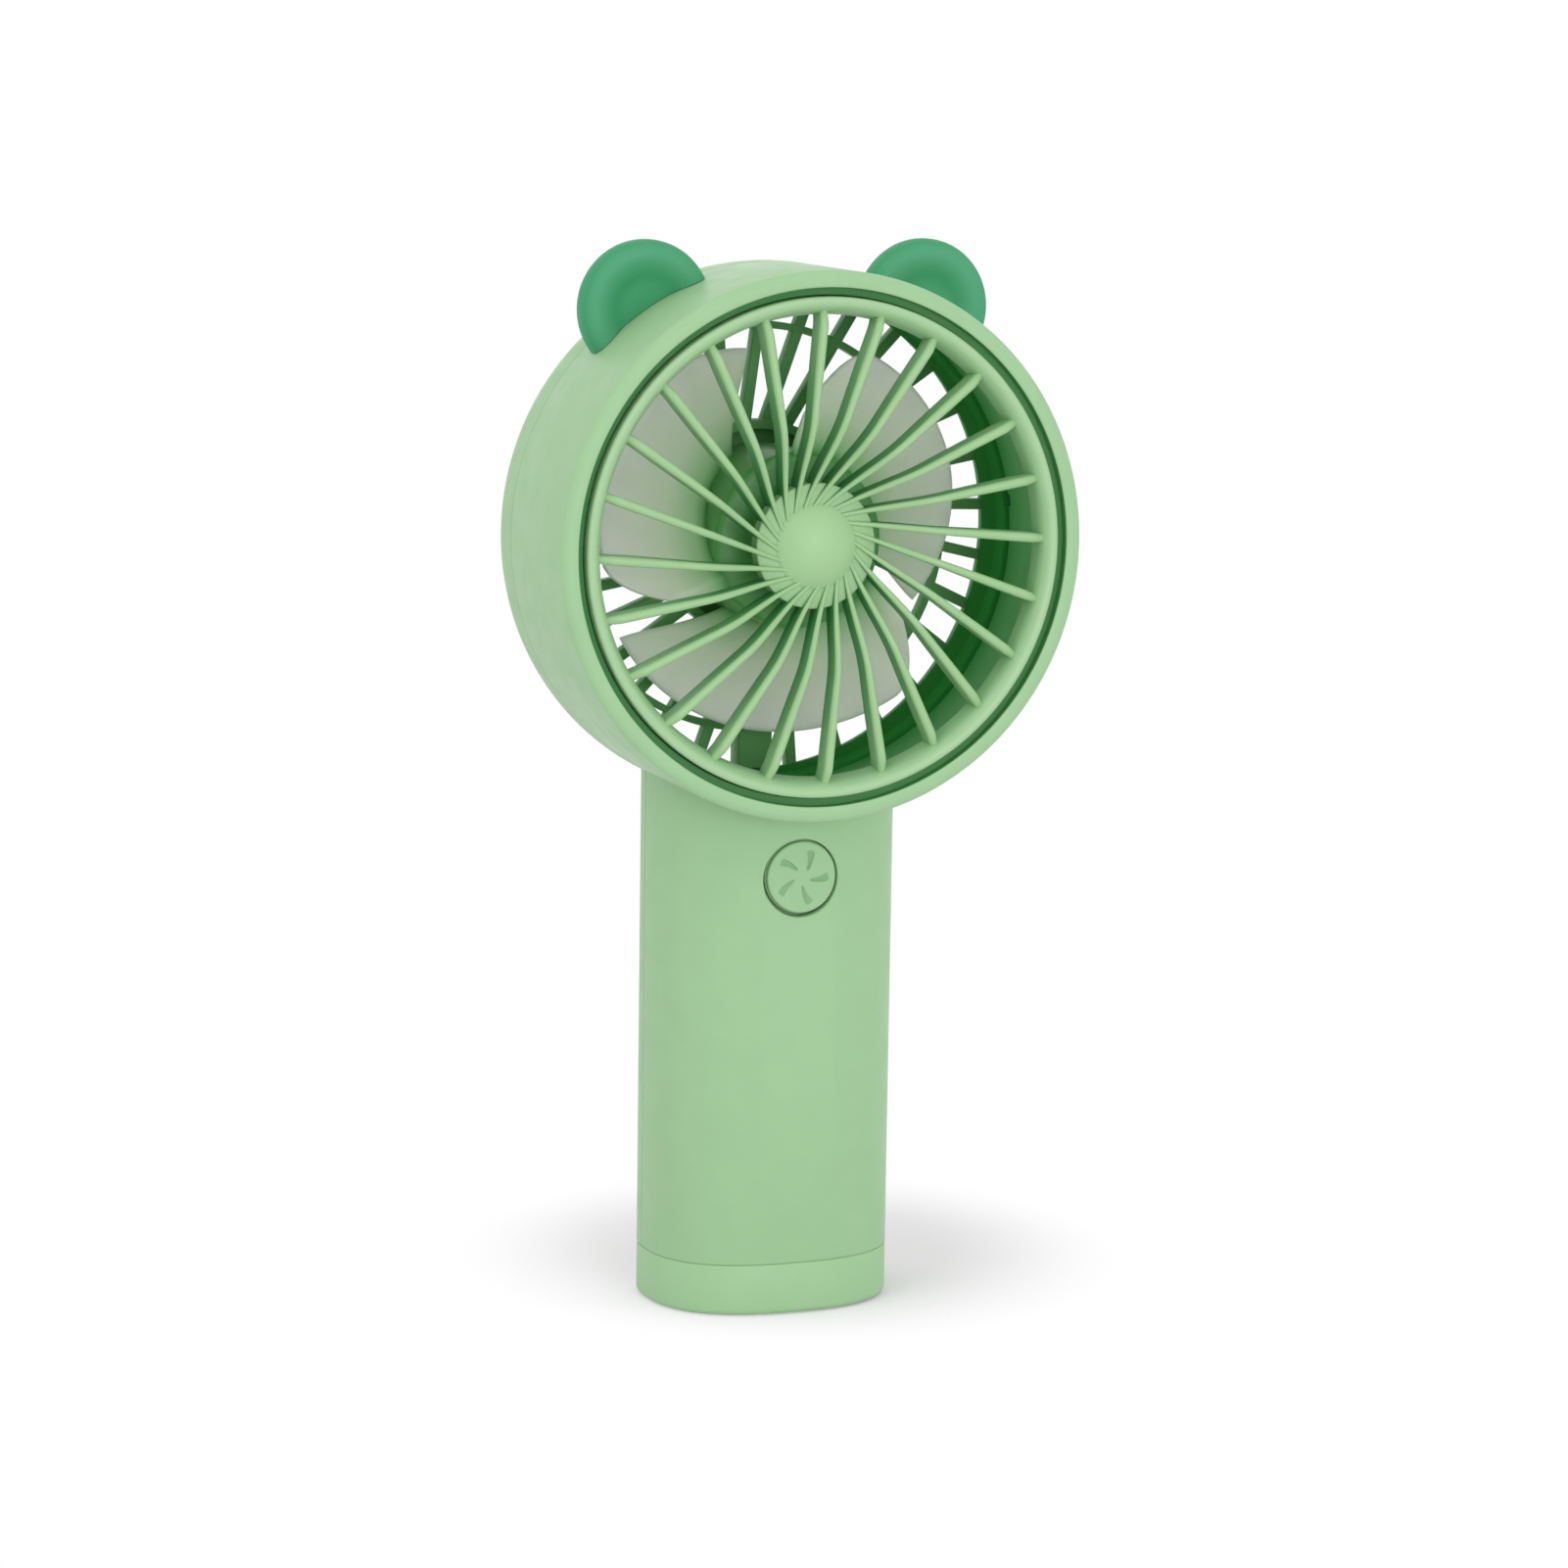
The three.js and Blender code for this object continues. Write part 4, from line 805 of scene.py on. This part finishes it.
# %% Rear grille ribs, arm and lead channel
rib_count, first_rib, rib_width, rib_edge = 30, 10.35, 1.9, 0.3
rib_start, rib_reach = cup_radius - 1.5, math.sqrt(rib_end ** 2 - spoke_offset ** 2)
arm_width, arm_turn = 6.4, 270
channel_half, channel_front, channel_top = 2.4 * MM, rib_front - 0.9, 11.1 * MM


def rib_section(along, side, width, front):
    """The rib's section: a bar with soft corners."""
    half = width / 2
    outline = rounded([(-half, front, rib_edge), (half, front, rib_edge),
                       (half, rib_back, rib_edge), (-half, rib_back, rib_edge)], 3)
    return [(along * MM, front_y + point.y, axis_z + side * MM + point.x) for point in outline]


def rib():
    return loft([rib_section(s, spoke_offset, rib_width, rib_front) for s in (rib_start, rib_reach)])


ribs = make("ribs", repeated(rib, rib_count, first_rib))
arm = make("arm", loft([rib_section(s, 0, arm_width, cup_front) for s in (rib_start, duct_in - 0.3)]))
arm_end = make("arm_end", loft([rib_section(s, 0, arm_width, rib_front) for s in (rib_start, rib_end)]))
channel_low = (-channel_half, front_y + channel_front * MM, axis_z - (duct_mm + 2) * MM)
channel = make("channel", bar(channel_low, (channel_half, front_y + cup_floor * MM, axis_z - channel_top)))
combine(rear_grille, [cross_ring, cup, ribs, spin(arm, arm_turn), spin(arm_end, arm_turn)])
cut(rear_grille, [channel])
# painted shade: the rear grille takes a deeper copy of the shell's green, for the shade inside the head
rear_shade_green = plastic("rear_shade_green", linear(106, 166, 104), rough=0.5, skin=0.05, gloss=0.2)
dress(rear_grille, rear_shade_green, replaces=["rear_grille"])
print("rear grille faces:", len(rear_grille.data.polygons))

# %% [markdown]
# Each of the three blades is a curved sheet: wide, swept back at the outer corner, and twisted so that it
# climbs from the front at its leading edge to the back at its trailing edge. A solidify modifier would
# leave square edges, so a grid of points over the sheet is pushed out to both sides by half the wall, and
# the wall runs out to nothing at the free edges, which rounds them.

# %% The blade's middle sheet
blade_tip, hub_mm, root_sink = 35.0, 15.5, 0.6
lead_degrees, trail_degrees, lead_sweep, trail_sweep = 83.0, -25.6, 12.3, 23.3
lead_power, trail_power = 2.1, 1.76
lead_depth, trail_depth = 14.7, 33.2
lead_corner, lead_corner_end, trail_corner, trail_corner_start = 0.38, 0.17, 0.08, 0.5


def blade_point(u, v):
    """A point of the blade's middle sheet: u from leading to trailing edge, v from hub to tip."""
    corner = lead_corner * max(0, 1 - u / lead_corner_end) ** 2
    corner += trail_corner * max(0, (u - trail_corner_start) / (1 - trail_corner_start)) ** 2
    root = hub_mm - root_sink
    radius = root + (blade_tip * (1 - corner) - root) * v
    inward = max(0.0, min(1.0, 1 - (radius - hub_mm) / (blade_tip - hub_mm)))
    lead = lead_degrees + lead_sweep * inward ** lead_power
    trail = trail_degrees + trail_sweep * inward ** trail_power
    degrees = lead + (trail - lead) * u
    turn = (lead_degrees - degrees) / (lead_degrees - trail_degrees)
    depth = lead_depth + (trail_depth - lead_depth) * max(0.0, min(1.0, turn))
    angle = math.radians(degrees)
    return Vector((radius * math.cos(angle), depth, radius * math.sin(angle)))


print("blade: %.0f degrees wide, %.1f mm deep" % (lead_degrees - trail_degrees, trail_depth - lead_depth))

# %% [markdown]
# The sheet gets its wall next. At each point two short steps over the sheet give the direction that it
# faces, and the point is pushed out along it to both sides. The steps lie closer together at the edges,
# where the wall rounds off.

# %% A blade with its wall
chord_steps, run_steps, probe = 72, 40, 0.004
root_wall, tip_wall, edge_power = 1.3, 1.0, 60


def blade_wall(u, v):
    """The blade's thickness in mm, which runs out to nothing at the free edges."""
    wall = root_wall - (root_wall - tip_wall) * v
    wall *= math.sqrt(max(0, 1 - abs(2 * u - 1) ** edge_power))
    return wall * math.sqrt(max(0, 1 - v ** edge_power))


def blade_normal(u, v):
    """The direction that the sheet faces, from two short steps over it."""
    along = blade_point(min(1, u + probe), v) - blade_point(max(0, u - probe), v)
    out = blade_point(u, min(1, v + probe)) - blade_point(u, max(0, v - probe))
    return along.cross(out).normalized()


def blade_sheet():
    bm = bmesh.new()
    sides = []
    for side in (-1, 1):
        rows = []
        for j in range(run_steps + 1):
            v = math.sin(math.pi / 2 * j / run_steps)
            row = []
            for i in range(chord_steps + 1):
                u = (1 - math.cos(math.pi * i / chord_steps)) / 2
                point = blade_point(u, v) + blade_normal(u, v) * side * blade_wall(u, v) / 2
                row.append(bm.verts.new((point.x * MM, front_y + point.y * MM, axis_z + point.z * MM)))
            rows.append(row)
        for a, b in zip(rows, rows[1:]):
            for i in range(chord_steps):
                bm.faces.new([a[i], a[i + 1], b[i + 1], b[i]])
        sides.append(rows)
    one, other = sides[0][0], sides[1][0]
    for i in range(chord_steps):
        bm.faces.new([one[i], one[i + 1], other[i + 1], other[i]])
    return bm


print("blade wall %.1f mm at the hub, %.1f mm at the tip" % (blade_wall(0.5, 0), tip_wall))

# %% [markdown]
# The hub is a cup that is open behind, where it turns round the motor, with a socket for the shaft in its
# middle. The three blades are joined to it. The plastic is very pale and lets much light through, so its skin is
# deep; near the hub it gets painted shade and a painted green reflection of the hub.

# %% Impeller
blade_count = 3
cup_top, cup_end, cup_inside, cup_roof = 13.7, 33.6, 14.3, 15.8
socket_outside, socket_bore, socket_end, shaft_end = 3.2, 1.03, 20.4, 15.0

impeller = make("impeller_fine", turned(rounded([
    (0, cup_top, 0), (hub_mm, cup_top, 1.8), (hub_mm, cup_end, 0.3), (cup_inside, cup_end, 0.3),
    (cup_inside, cup_roof, 0.3), (socket_outside, cup_roof, 0.2), (socket_outside, socket_end, 0.2),
    (socket_bore, socket_end, 0), (socket_bore, shaft_end, 0), (0, shaft_end, 0),
]), 128))
combine(impeller, [spin(make("blade", blade_sheet()), 360 / blade_count * n) for n in range(blade_count)])
# painted shade and painted green reflection near the hub, pale towards the tips
blade_shade_stops = [(15.2, (94, 162, 90)), (17.5, (168, 208, 158)), (23, (216, 240, 202)), (35, (247, 255, 233))]
blade_green = plastic("blade_green", None, rough=0.35, skin=0.8, depth=6, places=("radius", blade_shade_stops))
dress(impeller, blade_green, ROTOR, ["impeller"])
print("impeller faces:", len(impeller.data.polygons))

# %% [markdown]
# The ears are thick round discs with a soft raised rim and a shallow dish. They sit on the drum, so the drum's
# round is cut out of them, a little larger than the drum itself. Their teal carries painted shade, deepest on
# the slope of the dish and lightest on the rim, so it follows the depth.

# %% Ears
ear_front, ear_back = (depth_in_head(y) for y in span("ear_right", Y))
ear_radius, ear_round, ear_dish, ear_reach, dish_floor = 11.95, 2.6, 1.4, 47.4 * MM, 0.42
ear_turns = (("right", 57.1), ("left", 122.9))
seat_gap, seat_over = 0.1 * MM, 2
# the ears' teal with painted shade, deepest on the slope of the dish
ear_shade_stops = [(ear_front, (79, 160, 119)), (ear_front + 0.4, (73, 157, 114)), (ear_front + 1.0, (60, 150, 102)),
             (ear_front + 1.6, (64, 154, 106)), (ear_front + 3, (64, 152, 108))]
ear_green = plastic("ear_green", None, rough=0.52, gloss=0.25, places=("depth", ear_shade_stops))


def ear_profile(dish_steps=24, round_steps=10):
    """From the middle of the dish over the round rim to the flat back."""
    ridge = ear_radius - ear_round
    points = []
    for k in range(dish_steps):
        share = k / dish_steps
        sink = ear_dish * (1 - smooth((share - dish_floor) / (1 - dish_floor)))
        points.append((ridge * share, ear_front + sink, 0))
    for start, depth, way in ((0, ear_front, 1), (90, ear_back, -1)):
        for k in range(round_steps + 1):
            turn = math.radians(start + 90 / round_steps * k)
            fall = ear_round * (1 - abs(math.cos(turn)))
            points.append((ridge + ear_round * math.sin(turn), depth + way * fall, 0))
    return rounded(points + [(0, ear_back, 0)])


for side, degrees in ear_turns:
    ear = make("ear_%s_fine" % side, turned(ear_profile(), 128))
    turn = math.radians(degrees)
    ear.data.transform(Matrix.Translation((ear_reach * math.cos(turn), 0, ear_reach * math.sin(turn))))
    seat_low, seat_high = front_y + (ear_front - seat_over) * MM, front_y + (ear_back + seat_over) * MM
    cut(ear, [make("seat", rod(head_radius + seat_gap, seat_low, seat_high, 0, axis_z, 256))])
    dress(ear, ear_green, replaces=["ear_" + side])
    print(ear.name, "faces:", len(ear.data.polygons))

# %% [markdown]
# The button is flush with the handle, so its face takes the handle's own curve. A swirl of five short vanes is
# sunk in it, the usual sign for a fan. Booleans on such a shallow form leave slivers, so a height function over
# a fine disc draws the face and the swirl in one go, and the same function says which faces get painted shade, a
# deeper green deep in the sunk vanes.

# %% The button's swirl
cap_mm, cap_round, cap_shift, cap_sink = 6.34, 0.4, 0.18, 0.03
vane_step, vane_start, vane_swirl, vane_root = 72, 46, 4.5, 1.6
vane_rise, vane_fall, vane_length, vane_spread = 0.07, 0.1, 0.18, 0.04
vane_inner, inner_fade, vane_outer, outer_fade = 1.3, 0.6, 5.5, 1.2
vane_depth, vane_shade_from = 0.3, 0.45
collar_steps, flange_radius = [(cap_mm, 1.2), (6.55, 1.25)], 7.8
flange_y = span("button_cap", Y)[1]


def vane(radius, turn):
    """Depth of the swirl at a place on the button, 0 to 1, radius in mm."""
    phase = (math.degrees(turn) - vane_start - vane_swirl * (radius - vane_root)) % vane_step / vane_step
    wedge = smooth(phase / vane_rise) * (1 - smooth((phase - vane_fall) / (vane_length + vane_spread * radius)))
    return wedge * smooth((radius - vane_inner) / inner_fade) * smooth((vane_outer - radius) / outer_fade)


print("vanes:", 360 // vane_step, "depth %.1f mm" % vane_depth)

# %% [markdown]
# The cap is built in rings from its middle outwards, each ring laid on the handle's curve. After the
# rounded edge the rings go down into the hole, out to the flange that keeps the cap from falling out, and
# end at its flat back, so that the mesh is closed.

# %% Button
def button_face(rings=60, count=240):
    bm = bmesh.new()
    rows, dark = [], []
    for j in range(rings + 1):
        radius = cap_mm * math.sin(math.pi / 2 * j / rings)
        past = max(0, (radius - cap_mm + cap_round) / cap_round)
        fall = cap_sink + cap_round * (1 - math.sqrt(max(0, 1 - past * past)))
        row = []
        for turn in once_round(count):
            x = (cap_shift + radius * math.cos(turn)) * MM
            z = (cap_shift + radius * math.sin(turn)) * MM
            y = handle_front_at(x) + (fall + vane_depth * vane(radius, turn)) * MM
            row.append(bm.verts.new((button_x + x, y, button_z + z)))
        rows.append(row)
        # faces deep in the sunk vanes get the painted shade
        dark.append([vane(radius, 2 * math.pi * (k + 0.5) / count) > vane_shade_from for k in range(count)])
    collar = button_rings(collar_steps, cap_shift, count)
    collar += [[(x, flange_y - MM, z) for x, y, z in collar[1]]]
    outer = button_rings([(flange_radius, 0)], 0, count)[0]
    collar += [[(x, y, z) for x, _, z in outer] for y in (flange_y - MM, flange_y)]
    rows += [[bm.verts.new(point) for point in ring] for ring in collar]
    for j, (a, b) in enumerate(zip(rows, rows[1:])):
        for k in range(count):
            face = bm.faces.new([a[k], a[(k + 1) % count], b[(k + 1) % count], b[k]])
            face.material_index = int(j < rings and dark[j][k])
    bm.faces.new(rows[-1])
    return bm


button = make("button_fine", button_face())
dress(button, shell_green, BUTTON, ["button_cap"])
# painted shade in the sunk vanes: a deeper copy of the shell's green
button.data.materials.append(plastic("vane_shade_green", linear(134, 175, 131), rough=0.55, gloss=0.25))
print("button faces:", len(button.data.polygons))

# %% [markdown]
# Some small pieces are plated metal, such as the screws, the charging socket and the motor's can. Metal is
# all reflection, so with one roughness everywhere it looks like grey paint under this even light. Its life
# comes from a slightly uneven polish: one noise tints it faintly, and a finer one changes its roughness.

# %% Metal
streak_scale, brush_scale = 400, 900
less_rough, more_rough = 0.06, 0.08


def metal(name, colour, rough=0.3, streak=0.06):
    """Plated metal with faint uneven polish."""
    material = bpy.data.materials.new(name)
    material.use_nodes = True
    nodes, links = material.node_tree.nodes, material.node_tree.links
    shader = nodes["Principled BSDF"]
    shader.inputs["Metallic"].default_value = 1
    streaks = noise(nodes, links, streak_scale)
    links.new(ramp(nodes, links, streaks, shade(colour, 1 - streak), shade(colour, 1 + streak)),
              shader.inputs["Base Color"])
    brushed = ramp(nodes, links, noise(nodes, links, brush_scale, 4),
                   grey(rough - less_rough), grey(rough + more_rough))
    links.new(brushed, shader.inputs["Roughness"])
    return material


steel = metal("plated_steel", linear(190, 192, 196))
zinc = metal("zinc_plate", linear(168, 171, 175), 0.38)
print("metals:", steel.name, zinc.name)

# %% [markdown]
# The screws behind have a flat head with a cross recess. The head is a short rod with a smaller crown on
# it, which gives its edge, and the cross is a thin block cut into it twice, once lying and once standing. A
# finely rounded head would take many faces for the few pixels that a screw fills. The four screws differ
# only in their place, so one loop reads that from the CAD screws and makes them.

# %% Screws
head_out, crown_out, shank_out, crown_height = 2.2 * MM, 1.95 * MM, 1.2 * MM, 0.25 * MM
cross_long, cross_thin, cross_deep = 1.3 * MM, 0.22 * MM, 0.9 * MM

for node in screws:
    x, z = middle(node, X), middle(node, Z)
    top = span(node, Y)[1]
    head = make(node + "_fine", rod(head_out, top - screw_head, top - crown_height, x, z, 48))
    crown = make("crown", rod(crown_out, top - MM, top, x, z, 48))
    shank = make("shank", rod(shank_out, span(node, Y)[0], top - MM, x, z, 32))
    combine(head, [crown, shank])
    slots = []
    for wide, tall in ((cross_long, cross_thin), (cross_thin, cross_long)):
        slots.append(make("slot", bar((x - wide, top - cross_deep, z - tall), (x + wide, top + MM, z + tall))))
    cut(head, slots)
    dress(head, zinc, replaces=[node])
print("screws:", len(screws))

# %% [markdown]
# What is left stays as the CAD model has it: the motor, the boards, the cell and the leads are inside, and
# only a glimpse of some shows through the grilles. Their meshes aren't touched, but each still gets its
# own finish, so that the fan can be shown taken apart.

# %% Inner parts
bronze = metal("bush_bronze", linear(176, 141, 87), 0.4)
iron = metal("rotor_iron", linear(112, 114, 117), 0.5)
nickel = metal("strap_nickel", linear(200, 197, 186), 0.35)
ferrite = plastic("magnet_ferrite", linear(58, 58, 61), rough=0.7, skin=0, grain=0.2)
white_cap = plastic("end_cap_white", linear(226, 226, 220), rough=0.45)
black_plastic = plastic("switch_black", linear(38, 38, 41), rough=0.45, skin=0)
solder_mask = plastic("board_green", linear(30, 105, 58), rough=0.3, skin=0, cloud=0.08)
cell_film = plastic("cell_film", linear(62, 112, 176), rough=0.25, skin=0)
lead_red = plastic("lead_red", linear(178, 46, 44), rough=0.5, skin=0)
lead_black = plastic("lead_black", linear(30, 30, 33), rough=0.5, skin=0)
finishes = {
    "motor_can": steel, "motor_shaft": steel, "charge_socket": steel, "motor_end_cap": white_cap,
    "motor_bush_front": bronze, "motor_bush_rear": bronze, "motor_rotor": iron,
    "motor_magnet_left": ferrite, "motor_magnet_right": ferrite, "switch_body": black_plastic,
    "switch_plunger": black_plastic, "circuit_board": solder_mask, "charge_board": solder_mask,
    "battery_cell": cell_film, "battery_strap_top": nickel, "battery_strap_bottom": nickel,
    "motor_lead_red": lead_red, "motor_lead_black": lead_black, "board_screw_1": zinc, "board_screw_2": zinc,
}
for node, material in finishes.items():
    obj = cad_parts[node]
    obj.data.materials.clear()
    obj.data.materials.append(material)
    soften(obj, 40)
print("inner parts finished:", len(finishes))

# %% [markdown]
# The fan stands on a plain white ground that only shows a soft shadow near the foot. A brighter lamp would
# clear the ground, but it would bleach the fan as well. So the floor is a matt pale one close to the fan,
# and goes over to plain white light a few centimetres away, for the camera and for reflections alone. The
# middle of that patch lies a little behind the fan and to the right, where the shadow falls.

# %% Floor
white = (1, 1, 1, 1)
patch_centre, patch_near, patch_far = (0.014, 0.026, 0), 0.026, 0.064
floor_lift, floor_half, floor_top, floor_bottom = 0.03, 4, -0.0002, -0.02
floor_low, floor_high, floor_cloud = (0.83, 0.805, 0.83, 1), (0.85, 0.825, 0.85, 1), 3
floor_rough, floor_gloss = 0.9, 0.1


def seen_directly(nodes, links):
    """1 for what the camera, a mirror or glass sees, 0 for light that falls on the fan."""
    path = nodes.new("ShaderNodeLightPath")
    seen = path.outputs["Is Camera Ray"]
    for other in ("Is Glossy Ray", "Is Transmission Ray"):
        either = nodes.new("ShaderNodeMath")
        either.operation = "MAXIMUM"
        links.new(seen, either.inputs[0])
        links.new(path.outputs[other], either.inputs[1])
        seen = either.outputs["Value"]
    return seen


def white_share(nodes, links, seen):
    """How much of the floor is plain white light: nothing near the fan, all of it farther away."""
    place = nodes.new("ShaderNodeTexCoord")
    away = nodes.new("ShaderNodeVectorMath")
    away.operation = "DISTANCE"
    away.inputs[1].default_value = patch_centre
    links.new(place.outputs["Object"], away.inputs[0])
    fade = nodes.new("ShaderNodeMapRange")
    fade.interpolation_type = "SMOOTHSTEP"
    fade.inputs["From Min"].default_value = patch_near
    fade.inputs["From Max"].default_value = patch_far
    links.new(away.outputs["Value"], fade.inputs["Value"])
    share = nodes.new("ShaderNodeMath")
    share.operation = "MULTIPLY"
    links.new(fade.outputs["Result"], share.inputs[0])
    links.new(seen, share.inputs[1])
    return share.outputs["Value"]


def floor_material():
    """Matt white that goes over to plain white paper light away from the fan, for the camera only."""
    material = bpy.data.materials.new("floor_white")
    material.use_nodes = True
    nodes, links = material.node_tree.nodes, material.node_tree.links
    shader = nodes["Principled BSDF"]
    clouds = noise(nodes, links, floor_cloud)
    links.new(ramp(nodes, links, clouds, floor_low, floor_high), shader.inputs["Base Color"])
    shader.inputs["Roughness"].default_value = floor_rough
    shader.inputs["Specular IOR Level"].default_value = floor_gloss
    shader.inputs["Emission Color"].default_value = white
    seen = seen_directly(nodes, links)
    lift = nodes.new("ShaderNodeMath")
    lift.operation = "MULTIPLY"
    lift.inputs[1].default_value = floor_lift
    links.new(seen, lift.inputs[0])
    links.new(lift.outputs["Value"], shader.inputs["Emission Strength"])
    paper = nodes.new("ShaderNodeEmission")
    mix = nodes.new("ShaderNodeMixShader")
    links.new(white_share(nodes, links, seen), mix.inputs["Fac"])
    links.new(shader.outputs["BSDF"], mix.inputs[1])
    links.new(paper.outputs["Emission"], mix.inputs[2])
    links.new(mix.outputs["Shader"], nodes["Material Output"].inputs["Surface"])
    return material


floor = make("floor", bar((-floor_half, -floor_half, floor_bottom), (floor_half, floor_half, floor_top)))
floor.data.materials.append(floor_material())
print("floor patch: %.0f to %.0f mm" % (patch_near / MM, patch_far / MM))

# %% [markdown]
# Soft studio light: an even white world does most of the work, as in a light tent. Three large round
# lamps only model the forms: a key lamp from the upper left, a stronger one low in front, which reaches
# the handle and looks into the duct, and a weak one behind for the top of the drum. The world is a
# little under white for the light that it gives, and plain white where it is seen directly.

# %% Light
world_light, world_seen = 0.9, 1.0
lamp_size = 0.7
lamps = {"key_lamp": ((-0.8, -0.4, 1.2), 2.4), "front_lamp": ((0.1, -1.4, 0.25), 4.6),
         "back_lamp": ((0.2, 1.3, 0.5), 0.4)}
target = Vector((0, 0, 0.1))

world = bpy.data.worlds.new("studio")
bpy.context.scene.world = world
world.use_nodes = True
nodes, links = world.node_tree.nodes, world.node_tree.links
background = nodes["Background"]
background.inputs["Color"].default_value = white
level = nodes.new("ShaderNodeMapRange")
level.inputs["To Min"].default_value = world_light
level.inputs["To Max"].default_value = world_seen
links.new(seen_directly(nodes, links), level.inputs["Value"])
links.new(level.outputs["Result"], background.inputs["Strength"])

for name, (place, power) in lamps.items():
    light = bpy.data.lights.new(name, "AREA")
    light.shape = "DISK"
    light.size = lamp_size
    light.energy = power
    obj = bpy.data.objects.new(name, light)
    obj.location = place
    obj.rotation_euler = (target - Vector(place)).to_track_quat("-Z", "Y").to_euler()
    bpy.context.scene.collection.objects.link(obj)
print("lamps:", sorted(lamps))

# %% [markdown]
# The camera was fitted to the photograph from the drum, the handle and the base: it looks a little from the
# left and from above, through a lens of about 107 mm on a 36 mm sensor. Its axes are built from the three
# angles, because a yaw, a pitch and a roll are easier to read and to correct than a rotation matrix.

# %% Camera
yaw, pitch, roll = (math.radians(a) for a in (20.66, 9.29, 0.84))
distance, aside, aim = 829.96 * MM, 3.44 * MM, Vector((0, 4.6, 92.26)) * MM
sensor_width, lens = 36, 106.96

forward = Vector((math.sin(yaw) * math.cos(pitch), math.cos(yaw) * math.cos(pitch), -math.sin(pitch)))
level_right = Vector((math.cos(yaw), -math.sin(yaw), 0))
level_up = level_right.cross(forward)
right = level_right * math.cos(roll) + level_up * math.sin(roll)
up = level_up * math.cos(roll) - level_right * math.sin(roll)
camera_data = bpy.data.cameras.new("camera")
camera_data.sensor_width = sensor_width
camera_data.lens = lens
camera = bpy.data.objects.new("camera", camera_data)
rotation = Matrix((right, up, -forward)).transposed().to_4x4()
camera.matrix_world = Matrix.Translation(level_right * aside + aim - forward * distance) @ rotation
bpy.context.scene.collection.objects.link(camera)
bpy.context.scene.camera = camera
print("camera %.0f mm away" % (distance / MM))

# %% [markdown]
# Last, the colours are shown as they are rendered, without a film curve.

# %% View settings
bpy.context.scene.view_settings.view_transform = "Standard"
